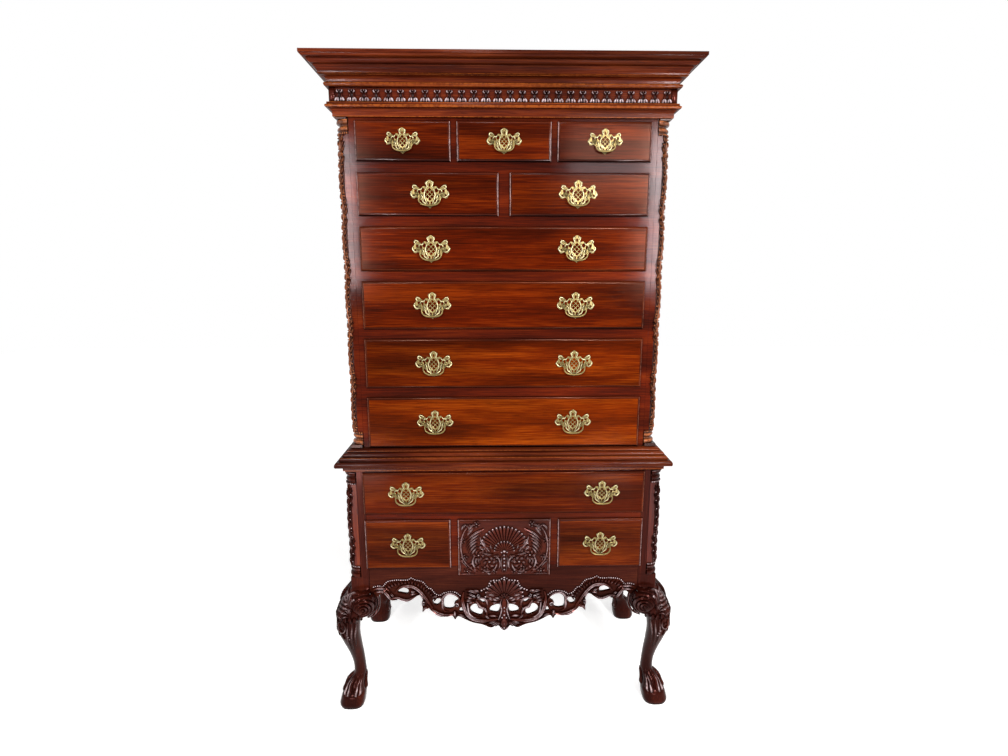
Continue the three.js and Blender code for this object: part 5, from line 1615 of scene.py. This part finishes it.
# Strokes of the carved drawer's left half, in millimetres from the shell's root
PANEL_STROKES = (
    (((-112, 98), (-132, 74), (-142, 44), (-145, 12), (-137, -27), (-118, -54), (-92, -76)), 9, 4.6, BAND,
     0.0),
    (((-98, 101), (-112, 88), (-126, 62)), 9, 5, LEAF, 0.3),
    (((-99, 88), (-114, 72), (-130, 48)), 9, 5, LEAF, 0.3),
    (((-68, 82), (-100, 64), (-132, 34)), 10, 5.4, LEAF, 0.3),
    (((-80, 66), (-104, 50), (-126, 26)), 9, 5.2, LEAF, 0.3),
    (((-84, 54), (-106, 38), (-127, 14)), 9, 5, LEAF, 0.3),
    (((-88, 41), (-108, 26), (-124, 4)), 9, 5, LEAF, 0.3),
    (((-90, 29), (-106, 14), (-120, -8)), 9, 5, LEAF, 0.3),
    (((-90, 17), (-102, 4), (-113, -17)), 8, 5, LEAF, 0.3),
    (((-134, 97), (-140, 84), (-144, 70)), 7, 4, LEAF, 0.3),
    (((-126, 100), (-134, 90), (-141, 82)), 7, 4, LEAF, 0.3),
    (((-52, 4), (-70, 26), (-80, 50), (-78, 78)), 8, 5.4, (0.6, 1.0, 0.2), 0.2),
    (((-60, 18), (-68, 34), (-66, 50)), 7, 5, LEAF, 0.3),
    (((-66, 2), (-80, 14), (-92, 12)), 8, 5, LEAF, 0.3),
    (((-46, -2), (-56, 10), (-58, 24)), 7, 5, LEAF, 0.3),
    (((-40, 8), (-46, 20), (-45, 34)), 6, 5, LEAF, 0.3),
    (((-36, -8), (-54, -10), (-74, -4), (-90, -12)), 8, 5, LEAF, 0.4),
    (((-100, -16), (-106, -36), (-98, -58), (-80, -72)), 9, 5.2, TAIL, 0.2),
    (((-94, -22), (-96, -38), (-88, -52)), 7, 5, LEAF, 0.3),
    (((-84, -20), (-86, -34), (-80, -46)), 7, 5, LEAF, 0.3),
    (((-76, -60), (-62, -70), (-46, -70), (-36, -60)), 8, 5, LEAF, 0.4),
    (((-28, -14), (-15, -34), (-17, -58), (-32, -80)), 8, 5.4, TAIL, 0.2),
    (((-24, -40), (-30, -58), (-46, -78)), 6, 4.6, LEAF, 0.2),
    (((-6, -10), (-10, -30), (-9, -54), (-4, -78)), 5, 4.6, BAND, 0.0),
    (((-146, -34), (-134, -44), (-124, -58)), 5, 3.2, BAND, 0.0),
    (((-147, -38), (-147, -60), (-147, -80)), 4, 3, BAND, 0.0),
    (((-147, -81), (-124, -81), (-100, -81)), 4, 3, BAND, 0.0),
    (((-60, -76), (-50, -80), (-40, -76)), 7, 4.4, LEAF, 0.3),
)
# Curling leaves round a boss: middle, reach, leaves and turn
ROSETTES = (
    ((-50, -38), 24, 6, 1.7), ((-86, -14), 22, 6, -1.6), ((-100, -52), 20, 5, 1.6),
    ((-66, 10), 17, 5, -1.4), ((-26, -24), 15, 5, 1.4), ((-66, -66), 16, 5, -1.5), ((-118, 86), 14, 5, 1.4),
    ((-134, -22), 15, 5, -1.4), ((-92, 98), 13, 5, 1.4), ((-140, 40), 13, 5, 1.5),
    ((-124, -72), 15, 5, -1.4), ((-34, -70), 12, 5, 1.4),
)
# Turned stem under the drawer's shell: height and radius of each bead
PANEL_STEM = ((-14, 3.5), (-27, 4.5), (-39, 3.2), (-52, 4.6), (-66, 3))
panel_wide = 0.9
panel_high = 1.15
panel_root = 89.0


def carve_drawer(shape, low, face):
    """The middle drawer: a beaded shell over a vase, with scrolls and long feathers at its sides."""
    plane = flat_front(face)
    root = low.z / MM + panel_root

    def surface(u, v, rise):
        return plane(u, np.asarray(v) + root, rise)

    carved = Shape()
    for path, width, height, taper, groove in PANEL_STROKES:
        full = (0.6, 1.0, 0.45) if taper == LEAF else taper
        worn_and_lit = 0.9 if taper == BAND else 1.1
        ridge(carved, surface, path, width * panel_wide, height * panel_high, full, groove, worn_and_lit=worn_and_lit)
    for middle, reach, petals, turn in ROSETTES:
        for angle in np.arange(petals) * 2 * math.pi / petals:
            curl = [np.add(middle, share * reach * np.array([math.cos(angle + turn * share),
                                                             math.sin(angle + turn * share)]))
                    for share in (0.3, 0.65, 1.0)]
            ridge(carved, surface, curl, reach * 0.4, 5.6, (0.4, 1.0, 0.3), 0.25, worn_and_lit=1.02)
        bead(carved, surface, *middle, reach * 0.14, 4)
    carved.mirrored((-1, 1, 1))
    shape.join(carved)
    shell(shape, surface, (0, 0), 87, 5.6, 19, 156, 0.42, 3.2)
    shell(shape, surface, (0, 0), 35, 6, 11, 170, 0.2, 2.4)
    bead(shape, surface, 0, 0, 5, 6.5, sides=14)
    for z, wide in PANEL_STEM:
        bead(shape, surface, 0, z, wide, 5.4, sides=12)
    for x in (-9, 9):
        bead(shape, surface, x, -4, 3, 5)


# Floor, world and lamps
floor_reach = 9.0
floor_glow = (0.66, 1.0)
floor_glow_reach = (0.8, 3.2)
FLOOR_STOPS = ((0.3, 0.8), (0.7, 0.84))
lamp_colour = (1.0, 0.985, 0.965)
ambient = 0.1
# Soft lamps: place, what each looks at, its two sizes and its watts
LAMPS = (
    ("right_soft", (2.25, -2.7, 1.9), (0.1, -0.2, 1.3), (0.9, 1.1), 8),
    ("right_wall", (3.2, -1.2, 1.85), (0.4, -0.2, 1.6), (1.3, 1.0), 24),
    ("left_soft", (-2.2, -2.7, 1.6), (-0.1, -0.2, 1.2), (0.4, 1.4), 8),
    ("left_wall", (-3.2, -1.2, 1.5), (-0.4, -0.2, 1.3), (0.8, 1.4), 20),
    ("right_strip", (1.29, -3.0, 1.95), (0.4, 0, 1.6), (0.13, 1.2), 78),
    ("left_strip", (-1.175, -3.0, 1.92), (-0.4, 0, 1.6), (0.1, 1.1), 52),
    ("right_high", (0.92, -3.0, 2.36), (0.2, 0, 1.5), (0.7, 0.5), 30),
    ("high_middle", (-0.15, -2.3, 2.95), (0, 0, 1.1), (0.3, 0.16), 8),
    ("low_left", (-0.9, -2.1, 0.2), (-0.45, 0, 0.15), (0.3, 0.2), 5),
    ("low_right", (0.75, -2.1, 0.2), (0.45, 0, 0.15), (0.3, 0.2), 4),
)


def seen_rays(tree):
    """1 for rays from the camera, a mirror or a clear piece, else 0."""
    path = tree.nodes.new("ShaderNodeLightPath")
    total = path.outputs["Is Camera Ray"]
    for name in ("Is Glossy Ray", "Is Transmission Ray"):
        larger = tree.nodes.new("ShaderNodeMath")
        larger.operation = "MAXIMUM"
        tree.links.new(total, larger.inputs[0])
        tree.links.new(path.outputs[name], larger.inputs[1])
        total = larger.outputs[0]
    return total


def make_world():
    world = bpy.data.worlds.new("world")
    bpy.context.scene.world = world
    world.use_nodes = True
    tree = world.node_tree
    plain = tree.nodes["Background"]
    plain.inputs["Strength"].default_value = ambient
    plain.inputs["Color"].default_value = (1, 1, 1, 1)
    white = tree.nodes.new("ShaderNodeBackground")
    white.inputs["Color"].default_value = (1, 1, 1, 1)
    mix = tree.nodes.new("ShaderNodeMixShader")
    tree.links.new(seen_rays(tree), mix.inputs[0])
    tree.links.new(plain.outputs[0], mix.inputs[1])
    tree.links.new(white.outputs[0], mix.inputs[2])
    tree.links.new(mix.outputs[0], tree.nodes["World Output"].inputs["Surface"])


def make_floor():
    nodes = Nodes("floor")
    tree = nodes.tree
    grain = nodes.noise(nodes.place, 3.0, 4, 0.6)
    tone = nodes.ramp(grain, [(stop, (grey,) * 3) for stop, grey in FLOOR_STOPS])
    nodes.link(tone, nodes.shader.inputs["Base Color"])
    nodes.shader.inputs["Roughness"].default_value = 0.8
    nodes.shader.inputs["Specular IOR Level"].default_value = 0.1
    glow = tree.nodes.new("ShaderNodeEmission")
    glow.inputs["Color"].default_value = (1, 1, 1, 1)
    away = nodes.add("ShaderNodeVectorMath", {0: nodes.place}, operation="LENGTH").outputs["Value"]
    strength = nodes.fade(away, *floor_glow_reach, *floor_glow)
    nodes.link(nodes.math("MULTIPLY", seen_rays(tree), strength), glow.inputs["Strength"])
    added = tree.nodes.new("ShaderNodeAddShader")
    tree.links.new(nodes.shader.outputs[0], added.inputs[0])
    tree.links.new(glow.outputs[0], added.inputs[1])
    tree.links.new(added.outputs[0], tree.nodes["Material Output"].inputs["Surface"])
    shape = Shape()
    corners = ((-1, -1), (1, -1), (1, 1), (-1, 1))
    shape.add([(x * floor_reach, y * floor_reach, 0) for x, y in corners], [(0, 1, 2, 3)])
    floor = shape.build("floor", [nodes.material])


def make_lamps():
    for name, place, target, size, power in LAMPS:
        data = bpy.data.lights.new(name, "AREA")
        data.shape = "RECTANGLE"
        data.size, data.size_y = size
        data.energy = power
        data.color = lamp_colour
        lamp = bpy.data.objects.new(name, data)
        lamp.location = place
        lamp.rotation_euler = (Vector(target) - Vector(place)).to_track_quat("-Z", "Y").to_euler()
        bpy.context.scene.collection.objects.link(lamp)


def dress_cases(mats):
    """The case solids keep their own meshes and take their wood."""
    for name, kind in (("upper_case", "upper"), ("lower_case", "lower"), ("upper_back_panel", "raw_x")):
        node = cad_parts[name]
        node.data.materials.clear()
        node.data.materials.append(mats[kind])
        node.data.polygons.foreach_set("use_smooth", np.zeros(len(node.data.polygons), bool))


def main():
    make_camera()
    mats = make_materials()
    bpy.context.scene.view_settings.view_transform = "Standard"
    dress_cases(mats)
    make_drawers(mats)
    make_pulls(mats)
    make_cornice(mats)
    make_band(mats)
    make_waist(mats)
    make_upper_columns(mats)
    make_legs(mats)
    make_apron(mats)
    make_world()
    make_floor()
    make_lamps()


main()
